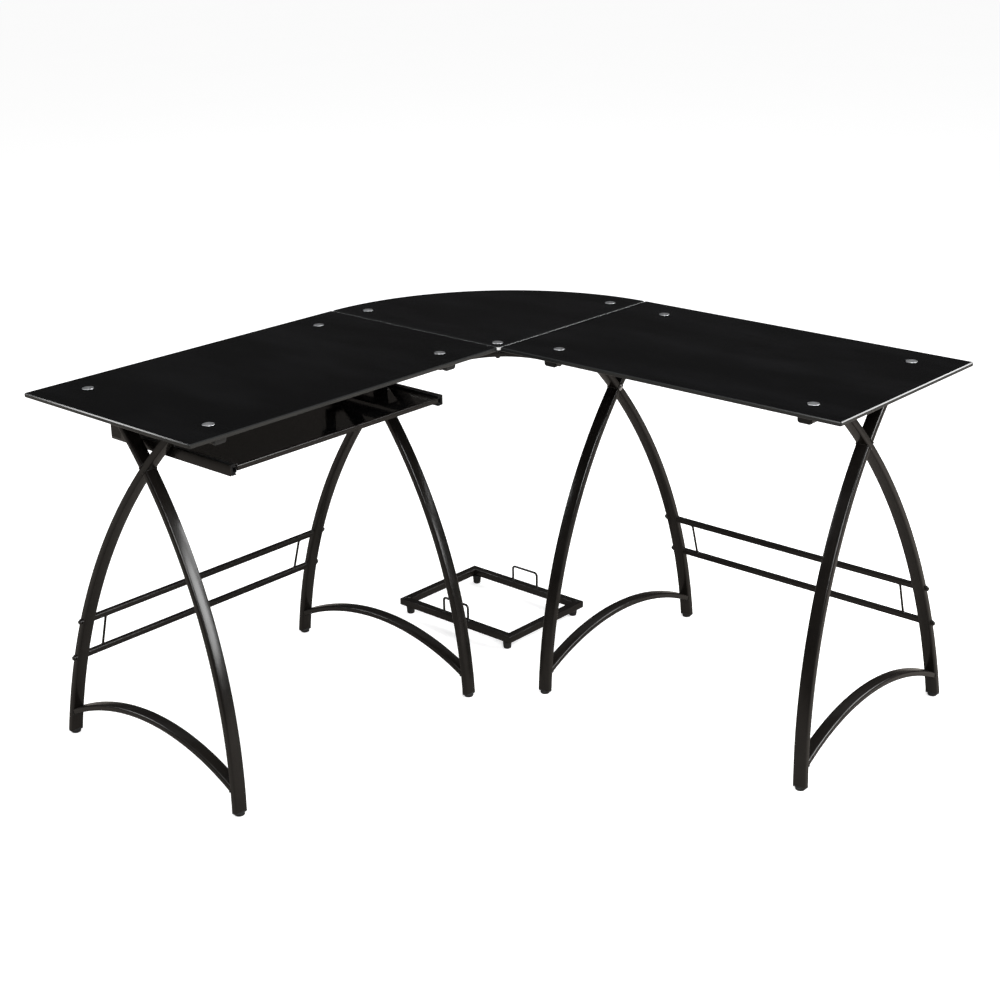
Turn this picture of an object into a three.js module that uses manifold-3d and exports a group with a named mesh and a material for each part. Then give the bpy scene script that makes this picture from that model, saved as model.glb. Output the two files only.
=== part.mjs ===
// Corner computer desk in three black glass panels on crossed, curved tube legs, with a
// keyboard tray on ball slides under one wing and a loose floor stand for a computer case.
// Millimetres, +Z up. The desk is laid out from the inner corner of the L, then centred.
import * as THREE from 'three';
import { mergeVertices } from 'three/addons/utils/BufferGeometryUtils.js';
import Module from 'manifold-3d';

const wasm = await Module();
wasm.setup();

// ---- driving dimensions -------------------------------------------------------------------
const DESK_HEIGHT = 740;
const WING_LENGTH = 800; // seam to outer end
const WING_DEPTH = 494; // front edge to back edge, and radius of the corner panel
const GLASS_THICKNESS = 8;
const SEAM_GAP = 3;
const CLEARANCE = 0.3; // between touching pieces

const CAP_RADIUS = 11.5; // metal cap seen in the glass
const CAP_PROUD = 0.4;
const CAP_SIDES = 16;
const PAD_RADIUS = 17; // seat under the glass
const PAD_HEIGHT = 8;
const CAP_FRONT = 66; // from the front edge
const CAP_BACK = 424; // from the front edge
const CAP_INNER = 106; // from the seam
const CAP_OUTER = 706; // from the seam

const RAIL_WIDTH = 30;
const RAIL_HEIGHT = 15;
const RAIL_CORNER = 5;
const RAIL_START = 38; // from the front edge
const RAIL_END = 462;
const TUBE_WALL = 1.5;

const LEG_WIDTH = 28; // across the frame
const LEG_DEPTH = 15; // in the plane of the frame
const LEG_CORNER = 3;
const LEG_RADIUS = 1065; // bending radius of the centre line
const LEG_FOOT_SPREAD = 258; // foot centre to the middle of the frame
const LEG_FOOT_ANGLE = THREE.MathUtils.degToRad(4.3);
const LEG_STEPS = 13;
const LEG_STUB_STEPS = 4; // above the crossing
const LEG_SPARE = 20; // past both ends, before they are cut level
const OUTER_FOOT = 763; // outer frame on the floor, from the seam
const OUTER_LEAN = 0.0816; // sideways over height, towards the seam at the top
const INNER_FOOT = 126;
const INNER_LEAN = 0.027;

const ARCH_WIDTH = 26;
const ARCH_DEPTH = 12;
const ARCH_END_HEIGHT = 48;
const ARCH_TOP_HEIGHT = 112;
const ARCH_STEPS = 10;

const FOOT_RADIUS = 10;
const FOOT_EDGE = 1.5;
const FOOT_PAD_HEIGHT = 6;
const FOOT_CAP_HEIGHT = 3;
const FOOT_CAP_MARGIN = 2; // wider than the tube, fore and aft
const FOOT_SIDES = 14;
const FOOT_HEIGHT = FOOT_PAD_HEIGHT + FOOT_CAP_HEIGHT;

const STRETCHER_SIZE = 12;
const STRETCHER_CORNER = 2;
const STRETCHER_UPPER = 260;
const STRETCHER_LOWER = 176;
const STRETCHER_WIRE_RADIUS = 2.5;
const STRETCHER_WIRES = [172, 697]; // from the seam

const CORNER_BAR_RADIUS = 132;
const CORNER_BAR_CENTRE = 67.5;
const CORNER_BAR_WIDTH = 25;
const CORNER_BAR_HEIGHT = 12;
const CORNER_BAR_CORNER = 2;
const CORNER_BAR_STEPS = 18;
const CORNER_CAP_TIP = 26; // tip cap, from both wings
const CORNER_CAP_SIDE = 51; // side caps, from the seam
const CORNER_CAP_FAR = 433; // side caps, along the seam
const ARM_WIDTH = 25;
const ARM_OVERHANG = 20; // past the side cap

const TRAY_INNER = 152; // from the seam
const TRAY_OUTER = 676;
const TRAY_FRONT = 30; // from the front edge of the wing
const TRAY_DEPTH = 300;
const TRAY_BOTTOM = 651;
const TRAY_HEIGHT = 10.5;
const TRAY_RIM = 5;
const TRAY_LEDGE = 16;
const TRAY_GLASS = 5;
const TRAY_GLASS_SUNK = 0.8;

const SLIDE_LENGTH = 350;
const SLIDE_FRONT = 32;
const SLIDE_WIDTH = 13;
const SLIDE_HEIGHT = 21;
const SLIDE_BOTTOM = 644;
const SLIDE_SHEET = 1.5;
const SLIDE_LIP = 11.5; // free edge of the fixed member, from its web
const RETAINER_WEB = 2.3;
const RETAINER_LIP = 10;
const RETAINER_HEIGHT = 16;
const RETAINER_SHEET = 1;
const MOVING_WEB = SLIDE_WIDTH - 0.6;
const MOVING_LIP = 4.6;
const MOVING_HEIGHT = 12.5;
const BRACKET_SHEET = 2.5;
const BRACKET_LAP = 5; // tabs above the lower edge of the strip
const BRACKET_TABS = [[190, 230], [352, 382]]; // along the slide, from the front edge

const STAND_CENTRE = new THREE.Vector2(-236, 222.5);
const STAND_LENGTH = 344;
const STAND_DEPTH = 261;
const STAND_TUBE_WIDTH = 18;
const STAND_TUBE_HEIGHT = 17.5;
const STAND_TOP = 37;
const STAND_LOOP_LENGTH = 75;
const STAND_LOOP_HEIGHT = 36;
const STAND_LOOP_CORNER = 7;
const STAND_WIRE_RADIUS = 2;
const STAND_LOOP_STEPS = 26;
const STAND_LOOP_SINK = 3; // ends let into the tube
const STAND_FOOT_RADIUS = 10;
const STAND_FOOT_TAPER = 2;
const STAND_FOOT_INSET = new THREE.Vector2(20, 14);

const HALF_DEPTH = WING_DEPTH / 2;
const GLASS_BOTTOM = DESK_HEIGHT - GLASS_THICKNESS;
const RAIL_TOP = GLASS_BOTTOM - PAD_HEIGHT;
const RAIL_BOTTOM = RAIL_TOP - RAIL_HEIGHT;
const WIRE_SIDES = 6;

// ---- materials ----------------------------------------------------------------------------
function finish(colour, roughness, metalness) {
  return new THREE.MeshStandardMaterial({ color: colour, roughness, metalness });
}
const BLACK_GLASS = finish(0x0a0a0b, 0.06, 0);
const POWDER_COAT = finish(0x191817, 0.42, 0.3);
const BRUSHED_METAL = finish(0xb9bcc0, 0.3, 1);
const BLACK_PLASTIC = finish(0x121212, 0.6, 0);
const SLIDE_STEEL = finish(0x232425, 0.35, 0.8);
const RETAINER_STEEL = finish(0x8d9094, 0.35, 1);

// ---- solids -------------------------------------------------------------------------------
function toSolid(geometry) {
  const bare = geometry.clone();
  bare.deleteAttribute('normal');
  bare.deleteAttribute('uv');
  const merged = mergeVertices(bare, 1e-4);
  return new wasm.Manifold(new wasm.Mesh({
    numProp: 3,
    vertProperties: new Float32Array(merged.attributes.position.array),
    triVerts: new Uint32Array(merged.index.array),
  }));
}

function toGeometry(solid) {
  const mesh = solid.getMesh();
  const geometry = new THREE.BufferGeometry();
  geometry.setAttribute('position', new THREE.BufferAttribute(mesh.vertProperties, 3));
  geometry.setIndex(new THREE.BufferAttribute(mesh.triVerts, 1));
  return geometry;
}

function cut(geometry, ...tools) {
  return toGeometry(tools.reduce((left, tool) => left.subtract(toSolid(tool)), toSolid(geometry)));
}

function join(geometry, ...others) {
  return toGeometry(others.reduce((left, other) => left.add(toSolid(other)), toSolid(geometry)));
}

function keepInside(geometry, box) {
  return toGeometry(toSolid(geometry).intersect(toSolid(box)));
}

// A box given by its lowest and highest corners.
function boxBetween(low, high) {
  const size = high.map((value, axis) => value - low[axis]);
  const centre = high.map((value, axis) => (value + low[axis]) / 2);
  return new THREE.BoxGeometry(...size).translate(...centre);
}

// A rectangle centred on the origin with its corners cut at 45 degrees.
function chamferedRectangle(width, height, corner) {
  const x = width / 2;
  const y = height / 2;
  return new THREE.Shape([
    new THREE.Vector2(-x + corner, -y),
    new THREE.Vector2(x - corner, -y),
    new THREE.Vector2(x, -y + corner),
    new THREE.Vector2(x, y - corner),
    new THREE.Vector2(x - corner, y),
    new THREE.Vector2(-x + corner, y),
    new THREE.Vector2(-x, y - corner),
    new THREE.Vector2(-x, -y + corner),
  ]);
}

// The same rectangle as a tube wall, open at both ends.
function tubeSection(width, height, corner) {
  const shape = chamferedRectangle(width, height, corner);
  const inner = chamferedRectangle(width - 2 * TUBE_WALL, height - 2 * TUBE_WALL, corner - TUBE_WALL / 2);
  shape.holes.push(new THREE.Path(inner.getPoints().reverse()));
  return shape;
}

function roundSection(radius) {
  const points = Array.from({ length: WIRE_SIDES }, (_, side) => {
    const angle = 2 * Math.PI * (side + 0.5) / WIRE_SIDES;
    return new THREE.Vector2(radius * Math.cos(angle), radius * Math.sin(angle));
  });
  return new THREE.Shape(points);
}

function along(curve, shape, steps) {
  return new THREE.ExtrudeGeometry(shape, { extrudePath: curve, steps, bevelEnabled: false });
}

function straightBar(shape, start, end) {
  return along(new THREE.LineCurve3(start, end), shape, 1);
}

// A turned piece about the vertical axis, its profile running from the axis and back to it.
function turned(profile, segments) {
  const points = profile.map(([radius, height]) => new THREE.Vector2(radius, height));
  return new THREE.LatheGeometry(points, segments).rotateX(Math.PI / 2);
}

// Slides every point sideways in proportion to its height.
function leanIn(geometry, slope) {
  const shear = new THREE.Matrix4().makeShear(0, 0, 0, 0, -slope, 0);
  return geometry.applyMatrix4(shear);
}

function mesh(name, geometry, material) {
  const made = new THREE.Mesh(geometry, material);
  made.name = name;
  return made;
}

// ---- curves -------------------------------------------------------------------------------
// Centre line of one leg in the plane of its frame: an arc from the foot at the front (side -1)
// or at the back (side 1), over the middle of the frame, up to the rail.
class LegCurve extends THREE.Curve {
  constructor(side, low, high) {
    super();
    Object.assign(this, { side, low, high });
  }

  getPoint(t, target = new THREE.Vector3()) {
    const height = THREE.MathUtils.lerp(this.low, this.high, t);
    return target.set(0, HALF_DEPTH + this.side * legSpread(height), height);
  }
}

// Distance of a leg's centre line from the middle of the frame. It is negative past the crossing.
function legSpread(height) {
  const sine = Math.sin(LEG_FOOT_ANGLE) + height / LEG_RADIUS;
  const drop = LEG_RADIUS * (Math.cos(LEG_FOOT_ANGLE) - Math.sqrt(1 - sine * sine));
  return LEG_FOOT_SPREAD - drop;
}

function crossingHeight() {
  const cosine = Math.cos(LEG_FOOT_ANGLE) - LEG_FOOT_SPREAD / LEG_RADIUS;
  return LEG_RADIUS * (Math.sqrt(1 - cosine * cosine) - Math.sin(LEG_FOOT_ANGLE));
}

function archCurve() {
  const half = legSpread(ARCH_END_HEIGHT);
  const rise = ARCH_TOP_HEIGHT - ARCH_END_HEIGHT;
  const radius = (half * half + rise * rise) / (2 * rise);
  const reach = Math.asin(half / radius);
  const curve = new THREE.Curve();
  curve.getPoint = (t, target = new THREE.Vector3()) => {
    const angle = (2 * t - 1) * reach;
    const height = ARCH_TOP_HEIGHT - radius * (1 - Math.cos(angle));
    return target.set(0, HALF_DEPTH + radius * Math.sin(angle), height);
  };
  return curve;
}

// ---- glass and its caps -------------------------------------------------------------------
const HOLE_RADIUS = CAP_RADIUS + 0.6;
const GLASS_CORNER = 4;
const CORNER_SIDES = 3;
const RIM_SIDES = 26; // round the outer edge of the corner panel

// Points of an arc, from one angle to another.
function arcPoints(x, y, radius, from, to, sides) {
  return Array.from({ length: sides + 1 }, (_, step) => {
    const angle = THREE.MathUtils.lerp(from, to, step / sides);
    return new THREE.Vector2(x + radius * Math.cos(angle), y + radius * Math.sin(angle));
  });
}

function roundedRectangle(x0, y0, x1, y1, radius) {
  const corners = [
    [x1 - radius, y0 + radius, -Math.PI / 2],
    [x1 - radius, y1 - radius, 0],
    [x0 + radius, y1 - radius, Math.PI / 2],
    [x0 + radius, y0 + radius, Math.PI],
  ];
  return new THREE.Shape(corners.flatMap(
    ([x, y, start]) => arcPoints(x, y, radius, start, start + Math.PI / 2, CORNER_SIDES),
  ));
}

// A quarter of a disc between the +y and -x directions, its two rim corners eased.
function quarterDisc(radius, corner) {
  const reach = Math.sqrt((radius - corner) ** 2 - corner ** 2);
  const turn = Math.asin(corner / (radius - corner));
  const quarter = Math.PI / 2;
  return new THREE.Shape([
    ...arcPoints(-corner, corner, corner, -quarter, 0, CORNER_SIDES),
    ...arcPoints(-corner, reach, corner, 0, quarter + turn, CORNER_SIDES),
    ...arcPoints(0, 0, radius, quarter + turn, Math.PI - turn, RIM_SIDES).slice(1, -1),
    ...arcPoints(-reach, corner, corner, Math.PI - turn, Math.PI + quarter, CORNER_SIDES),
  ]);
}

function glassPanel(shape, caps) {
  for (const cap of caps) {
    const rim = arcPoints(cap.x, cap.y, HOLE_RADIUS, 2 * Math.PI, 0, CAP_SIDES).slice(0, -1);
    shape.holes.push(new THREE.Path(rim));
  }
  const plate = new THREE.ExtrudeGeometry(shape, { depth: GLASS_THICKNESS, bevelEnabled: false });
  return plate.translate(0, 0, GLASS_BOTTOM);
}

function capGeometry() {
  const foot = RAIL_TOP + CLEARANCE;
  const seat = GLASS_BOTTOM - CLEARANCE;
  const top = DESK_HEIGHT + CAP_PROUD;
  return turned([
    [0, foot],
    [PAD_RADIUS, foot],
    [PAD_RADIUS, seat],
    [CAP_RADIUS, seat],
    [CAP_RADIUS, top],
    [0, top],
  ], CAP_SIDES);
}

const wingCaps = {
  inner_front: new THREE.Vector2(CAP_INNER, CAP_FRONT),
  inner_back: new THREE.Vector2(CAP_INNER, CAP_BACK),
  outer_front: new THREE.Vector2(CAP_OUTER, CAP_FRONT),
  outer_back: new THREE.Vector2(CAP_OUTER, CAP_BACK),
};
const cornerCaps = {
  corner_tip: new THREE.Vector2(-CORNER_CAP_TIP, CORNER_CAP_TIP),
  corner_left: new THREE.Vector2(-CORNER_CAP_FAR, CORNER_CAP_SIDE),
  corner_right: new THREE.Vector2(-CORNER_CAP_SIDE, CORNER_CAP_FAR),
};

// ---- one wing, in its own frame: x from the seam, y from the front edge to the back ----------
// side is 1 for the wing that runs along +x and -1 for its mirror image, whose x runs backwards.
function wingGlass(name, side) {
  const near = SEAM_GAP;
  const far = WING_LENGTH + SEAM_GAP;
  const [x0, x1] = side > 0 ? [near, far] : [-far, -near];
  const shape = roundedRectangle(x0, 0, x1, WING_DEPTH, GLASS_CORNER);
  const caps = Object.values(wingCaps).map((cap) => new THREE.Vector2(side * cap.x, cap.y));
  return mesh(`glass_${name}`, glassPanel(shape, caps), BLACK_GLASS);
}

function railGeometry(side, withArm) {
  const section = tubeSection(RAIL_WIDTH, RAIL_HEIGHT, RAIL_CORNER);
  const middle = RAIL_BOTTOM + RAIL_HEIGHT / 2;
  const rail = new THREE.ExtrudeGeometry(section, { depth: RAIL_END - RAIL_START, bevelEnabled: false });
  rail.rotateX(-Math.PI / 2).translate(0, RAIL_START, middle);
  if (!withArm) return rail;
  const reach = CAP_INNER + CORNER_CAP_SIDE + ARM_OVERHANG;
  const inside = RAIL_WIDTH / 2 - TUBE_WALL / 2;
  const [x0, x1] = side > 0 ? [-reach, -inside] : [inside, reach];
  const arm = boxBetween(
    [x0, CORNER_CAP_FAR - ARM_WIDTH / 2, RAIL_TOP - CORNER_BAR_HEIGHT],
    [x1, CORNER_CAP_FAR + ARM_WIDTH / 2, RAIL_TOP],
  );
  return join(rail, arm);
}

function legSection(extra = 0) {
  return chamferedRectangle(LEG_WIDTH + extra, LEG_DEPTH + extra, LEG_CORNER);
}

function frameMeshes(name, slope) {
  const slab = boxBetween(
    [-LEG_WIDTH, -WING_DEPTH, FOOT_HEIGHT + CLEARANCE],
    [LEG_WIDTH, 2 * WING_DEPTH, RAIL_BOTTOM - CLEARANCE],
  );
  const crossing = crossingHeight();
  const below = FOOT_HEIGHT - LEG_SPARE;
  const above = RAIL_BOTTOM + LEG_SPARE;
  const tube = () => tubeSection(LEG_WIDTH, LEG_DEPTH, LEG_CORNER);
  const rearSpace = along(new LegCurve(1, below, above), legSection(2 * CLEARANCE), LEG_STEPS);
  const frontSpace = along(new LegCurve(-1, below, crossing), legSection(2 * CLEARANCE), LEG_STEPS);
  const rear = along(new LegCurve(1, below, above), tube(), LEG_STEPS);
  const lower = along(new LegCurve(-1, below, crossing), tube(), LEG_STEPS);
  const upper = along(new LegCurve(-1, crossing, above), tube(), LEG_STUB_STEPS);
  const arch = along(archCurve(), tubeSection(ARCH_WIDTH, ARCH_DEPTH, LEG_CORNER), ARCH_STEPS);
  const pieces = {
    rear_leg: keepInside(rear, slab),
    front_leg_lower: keepInside(cut(lower, rearSpace), slab),
    front_leg_upper: keepInside(cut(upper, rearSpace), slab),
    arch: cut(arch, rearSpace, frontSpace),
  };
  return Object.entries(pieces).map(
    ([piece, geometry]) => mesh(`${name}_${piece}`, leanIn(geometry, slope), POWDER_COAT),
  );
}

function footGeometry() {
  const cap = new THREE.ExtrudeGeometry(
    chamferedRectangle(LEG_WIDTH, LEG_DEPTH + FOOT_CAP_MARGIN, LEG_CORNER),
    { depth: FOOT_CAP_HEIGHT, bevelEnabled: false },
  );
  const pad = turned([
    [0, 0],
    [FOOT_RADIUS - FOOT_EDGE, 0],
    [FOOT_RADIUS, FOOT_EDGE],
    [FOOT_RADIUS, FOOT_PAD_HEIGHT + FOOT_EDGE],
    [0, FOOT_PAD_HEIGHT + FOOT_EDGE],
  ], FOOT_SIDES);
  return join(cap.translate(0, 0, FOOT_PAD_HEIGHT), pad);
}

function footMeshes(name, slope) {
  const shift = -slope * FOOT_HEIGHT;
  return [['front', -1], ['rear', 1]].map(([place, end]) => {
    const foot = mesh(`${name}_foot_${place}`, footGeometry(), BLACK_PLASTIC);
    foot.position.set(shift, HALF_DEPTH + end * legSpread(FOOT_HEIGHT), 0);
    return foot;
  });
}

// Two bars between the back legs of a wing, with a thin upright near each end.
function stretcherGeometry(side) {
  const section = () => chamferedRectangle(STRETCHER_SIZE, STRETCHER_SIZE, STRETCHER_CORNER);
  const ends = (height) => [
    INNER_FOOT - INNER_LEAN * (height - STRETCHER_SIZE / 2) + LEG_WIDTH / 2 + CLEARANCE,
    OUTER_FOOT - OUTER_LEAN * (height + STRETCHER_SIZE / 2) - LEG_WIDTH / 2 - CLEARANCE,
  ];
  const at = (x, height) => new THREE.Vector3(side * x, HALF_DEPTH + legSpread(height), height);
  const bar = (height) => {
    const [inner, outer] = ends(height);
    return straightBar(section(), at(inner, height), at(outer, height));
  };
  const wire = (x) => straightBar(
    roundSection(STRETCHER_WIRE_RADIUS), at(x, STRETCHER_LOWER), at(x, STRETCHER_UPPER),
  );
  return join(bar(STRETCHER_UPPER), bar(STRETCHER_LOWER), ...STRETCHER_WIRES.map(wire));
}

function makeWing(name, side) {
  const wing = new THREE.Group();
  wing.add(wingGlass(name, side));
  for (const [place, point] of Object.entries(wingCaps)) {
    const cap = mesh(`cap_${name}_${place}`, capGeometry(), BRUSHED_METAL);
    cap.position.set(side * point.x, point.y, 0);
    wing.add(cap);
  }
  for (const [place, x, foot, lean] of [
    ['outer', CAP_OUTER, OUTER_FOOT, OUTER_LEAN],
    ['inner', CAP_INNER, INNER_FOOT, INNER_LEAN],
  ]) {
    const rail = mesh(`rail_${name}_${place}`, railGeometry(side, place === 'inner'), POWDER_COAT);
    rail.position.x = side * x;
    const frame = new THREE.Group();
    frame.add(...frameMeshes(`frame_${name}_${place}`, side * lean));
    frame.add(...footMeshes(`frame_${name}_${place}`, side * lean));
    frame.position.x = side * foot;
    wing.add(rail, frame);
  }
  wing.add(mesh(`stretcher_${name}`, stretcherGeometry(side), POWDER_COAT));
  return wing;
}

// ---- corner panel and the curved bar under it --------------------------------------------------
function cornerBarGeometry() {
  const middle = RAIL_TOP - CORNER_BAR_HEIGHT / 2;
  const centre = CORNER_BAR_CENTRE;
  const railSide = CAP_INNER - RAIL_WIDTH / 2 - CLEARANCE;
  const quarter = new THREE.Curve();
  quarter.getPoint = (t, target = new THREE.Vector3()) => {
    const angle = Math.PI - t * Math.PI / 2;
    const x = centre + CORNER_BAR_RADIUS * Math.cos(angle);
    const y = -centre + CORNER_BAR_RADIUS * Math.sin(angle);
    return target.set(x, y, middle);
  };
  const path = new THREE.CurvePath();
  const start = quarter.getPoint(0);
  const end = quarter.getPoint(1);
  path.add(new THREE.LineCurve3(new THREE.Vector3(start.x, -railSide, middle), start));
  path.add(quarter);
  path.add(new THREE.LineCurve3(end, new THREE.Vector3(railSide, end.y, middle)));
  const section = chamferedRectangle(CORNER_BAR_HEIGHT, CORNER_BAR_WIDTH, CORNER_BAR_CORNER);
  return along(path, section, CORNER_BAR_STEPS);
}

function makeCorner() {
  const corner = new THREE.Group();
  const panel = glassPanel(quarterDisc(WING_DEPTH, GLASS_CORNER), Object.values(cornerCaps));
  corner.add(mesh('glass_corner', panel, BLACK_GLASS));
  for (const [place, point] of Object.entries(cornerCaps)) {
    const cap = mesh(`cap_${place}`, capGeometry(), BRUSHED_METAL);
    cap.position.set(point.x, point.y, 0);
    corner.add(cap);
  }
  corner.add(mesh('corner_bar', cornerBarGeometry(), POWDER_COAT));
  return corner;
}

// ---- keyboard tray, in the frame of the mirrored wing (x runs backwards from the seam) ---------
// A channel section with its web at x = web, its lips ending at x = lips, level about y = 0.
function channel(web, lips, height, sheet) {
  const direction = Math.sign(lips - web);
  const inside = web + direction * sheet;
  const half = height / 2;
  const points = [
    [web, -half], [lips, -half], [lips, -half + sheet], [inside, -half + sheet],
    [inside, half - sheet], [lips, half - sheet], [lips, half], [web, half],
  ].map(([x, z]) => new THREE.Vector2(x, z));
  return new THREE.Shape(points);
}

function slideMember(shape) {
  const bar = new THREE.ExtrudeGeometry(shape, { depth: SLIDE_LENGTH, bevelEnabled: false });
  return bar.rotateX(Math.PI / 2).translate(0, SLIDE_FRONT + SLIDE_LENGTH, SLIDE_BOTTOM + SLIDE_HEIGHT / 2);
}

// inward is the direction from the bracket to the tray along x.
function slideShapes(inward) {
  const member = (web, lips, height, sheet) => channel(inward * web, inward * lips, height, sheet);
  return {
    fixed: member(0, SLIDE_LIP, SLIDE_HEIGHT, SLIDE_SHEET),
    retainer: member(RETAINER_WEB, RETAINER_LIP, RETAINER_HEIGHT, RETAINER_SHEET),
    moving: member(MOVING_WEB, MOVING_LIP, MOVING_HEIGHT, SLIDE_SHEET),
  };
}

function bracketGeometry(inward, railCentre, face) {
  const web = [face - inward * BRACKET_SHEET, face].sort((a, b) => a - b);
  const top = RAIL_BOTTOM - CLEARANCE;
  const strip = boxBetween(
    [web[0], SLIDE_FRONT, SLIDE_BOTTOM],
    [web[1], SLIDE_FRONT + SLIDE_LENGTH, SLIDE_BOTTOM + SLIDE_HEIGHT],
  );
  const tabs = BRACKET_TABS.flatMap(([y0, y1]) => {
    const flange = [railCentre, inward > 0 ? web[1] : web[0]].sort((a, b) => a - b);
    return [
      boxBetween([web[0], y0, SLIDE_BOTTOM + BRACKET_LAP], [web[1], y1, top]),
      boxBetween([flange[0], y0, top - BRACKET_SHEET], [flange[1], y1, top]),
    ];
  });
  return join(strip, ...tabs);
}

function makeTray() {
  const tray = new THREE.Group();
  const rear = TRAY_FRONT + TRAY_DEPTH;
  const top = TRAY_BOTTOM + TRAY_HEIGHT;
  const ledge = top - TRAY_GLASS - TRAY_GLASS_SUNK;
  const inset = (amount, low, high) => boxBetween(
    [-TRAY_OUTER + amount, TRAY_FRONT + amount, low],
    [-TRAY_INNER - amount, rear - amount, high],
  );
  const rim = cut(
    inset(0, TRAY_BOTTOM, top),
    inset(TRAY_RIM, ledge, top + 1),
    inset(TRAY_LEDGE, TRAY_BOTTOM - 1, ledge + 1),
  );
  const glass = inset(TRAY_RIM + CLEARANCE, ledge + CLEARANCE, ledge + TRAY_GLASS);
  tray.add(mesh('tray_frame', rim, POWDER_COAT));
  tray.add(mesh('tray_glass', glass, BLACK_GLASS));
  for (const [place, inward, face, railCentre] of [
    ['outer', 1, -TRAY_OUTER - SLIDE_WIDTH - CLEARANCE, -CAP_OUTER],
    ['inner', -1, -TRAY_INNER + SLIDE_WIDTH + CLEARANCE, -CAP_INNER],
  ]) {
    const shapes = slideShapes(inward);
    const fixed = mesh(`slide_${place}_fixed`, slideMember(shapes.fixed), SLIDE_STEEL);
    const retainer = mesh(`slide_${place}_retainer`, slideMember(shapes.retainer), RETAINER_STEEL);
    const moving = mesh(`slide_${place}_moving`, slideMember(shapes.moving), SLIDE_STEEL);
    for (const part of [fixed, retainer, moving]) part.position.x = face;
    const bracketFace = face - inward * CLEARANCE;
    const bracket = mesh(
      `tray_bracket_${place}`,
      bracketGeometry(inward, railCentre, bracketFace),
      POWDER_COAT,
    );
    tray.add(fixed, retainer, moving, bracket);
  }
  return tray;
}

// ---- loose floor stand for a computer case ------------------------------------------------------
// A wire hoop with rounded upper corners, standing on z = 0 along x.
function hoopGeometry() {
  const half = STAND_LOOP_LENGTH / 2;
  const high = STAND_LOOP_HEIGHT;
  const corner = STAND_LOOP_CORNER;
  const sink = STAND_LOOP_SINK;
  const bend = (x, angle) => {
    const curve = new THREE.Curve();
    curve.getPoint = (t, target = new THREE.Vector3()) => {
      const turn = angle - t * Math.PI / 2;
      return target.set(x + corner * Math.cos(turn), 0, high - corner + corner * Math.sin(turn));
    };
    return curve;
  };
  const left = bend(-half + corner, Math.PI);
  const right = bend(half - corner, Math.PI / 2);
  const path = new THREE.CurvePath();
  path.add(new THREE.LineCurve3(new THREE.Vector3(-half, 0, -sink), left.getPoint(0)));
  path.add(left);
  path.add(new THREE.LineCurve3(left.getPoint(1), right.getPoint(0)));
  path.add(right);
  path.add(new THREE.LineCurve3(right.getPoint(1), new THREE.Vector3(half, 0, -sink)));
  return along(path, roundSection(STAND_WIRE_RADIUS), STAND_LOOP_STEPS);
}

function makeStand() {
  const stand = new THREE.Group();
  const x = STAND_LENGTH / 2;
  const y = STAND_DEPTH / 2;
  const low = STAND_TOP - STAND_TUBE_HEIGHT;
  const tube = STAND_TUBE_WIDTH;
  const ring = cut(
    boxBetween([-x, -y, low], [x, y, STAND_TOP]),
    boxBetween([-x + tube, -y + tube, low - 1], [x - tube, y - tube, STAND_TOP + 1]),
  );
  const hoops = [-1, 1].map((side) => hoopGeometry().translate(0, side * (y - tube / 2), STAND_TOP));
  stand.add(mesh('stand_frame', join(ring, ...hoops), POWDER_COAT));
  const top = low - CLEARANCE;
  const foot = [
    [0, 0],
    [STAND_FOOT_RADIUS - STAND_FOOT_TAPER, 0],
    [STAND_FOOT_RADIUS, STAND_FOOT_TAPER],
    [STAND_FOOT_RADIUS, top],
    [0, top],
  ];
  for (const [across, xSide] of [['left', -1], ['right', 1]]) {
    for (const [depth, ySide] of [['front', -1], ['back', 1]]) {
      const made = mesh(`stand_foot_${across}_${depth}`, turned(foot, FOOT_SIDES), BLACK_PLASTIC);
      made.position.set(xSide * (x - STAND_FOOT_INSET.x), ySide * (y - STAND_FOOT_INSET.y), 0);
      stand.add(made);
    }
  }
  stand.position.set(STAND_CENTRE.x, STAND_CENTRE.y, 0);
  return stand;
}

// ---- the whole desk ----------------------------------------------------------------------------
const rightWing = makeWing('right', 1);
const leftWing = makeWing('left', -1);
leftWing.add(makeTray());
leftWing.rotation.z = Math.PI / 2;

const desk = new THREE.Group();
desk.add(rightWing, leftWing, makeCorner(), makeStand());
desk.updateMatrixWorld(true);
const bounds = new THREE.Box3().setFromObject(desk, true);
const middle = bounds.getCenter(new THREE.Vector3());
desk.position.set(-middle.x, -middle.y, -bounds.min.z);

export default desk;
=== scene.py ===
"""Corner computer desk: black glass on curved tube frames, a sliding keyboard tray and a case stand."""

import math

import bmesh
import bpy
from bpy.props import FloatProperty, FloatVectorProperty, IntProperty, PointerProperty
from bpy.types import Operator, Panel, PropertyGroup
from mathutils import Matrix, Vector


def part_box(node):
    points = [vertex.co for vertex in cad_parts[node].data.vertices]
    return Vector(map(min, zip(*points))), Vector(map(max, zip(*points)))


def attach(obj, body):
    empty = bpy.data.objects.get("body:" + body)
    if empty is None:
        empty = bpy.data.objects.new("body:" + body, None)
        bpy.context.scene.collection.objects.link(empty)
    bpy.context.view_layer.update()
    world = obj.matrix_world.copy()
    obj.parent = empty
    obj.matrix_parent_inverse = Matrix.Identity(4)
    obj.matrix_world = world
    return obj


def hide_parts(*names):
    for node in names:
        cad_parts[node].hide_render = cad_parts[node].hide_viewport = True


bl_info = {
    "name": "Corner computer desk",
    "version": (1, 0, 0),
    "blender": (4, 5, 0),
    "location": "3D View > Sidebar > Desk",
    "description": "Builds a corner desk with curved tube frames, a keyboard tray and a case stand",
    "category": "Object",
}

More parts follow.
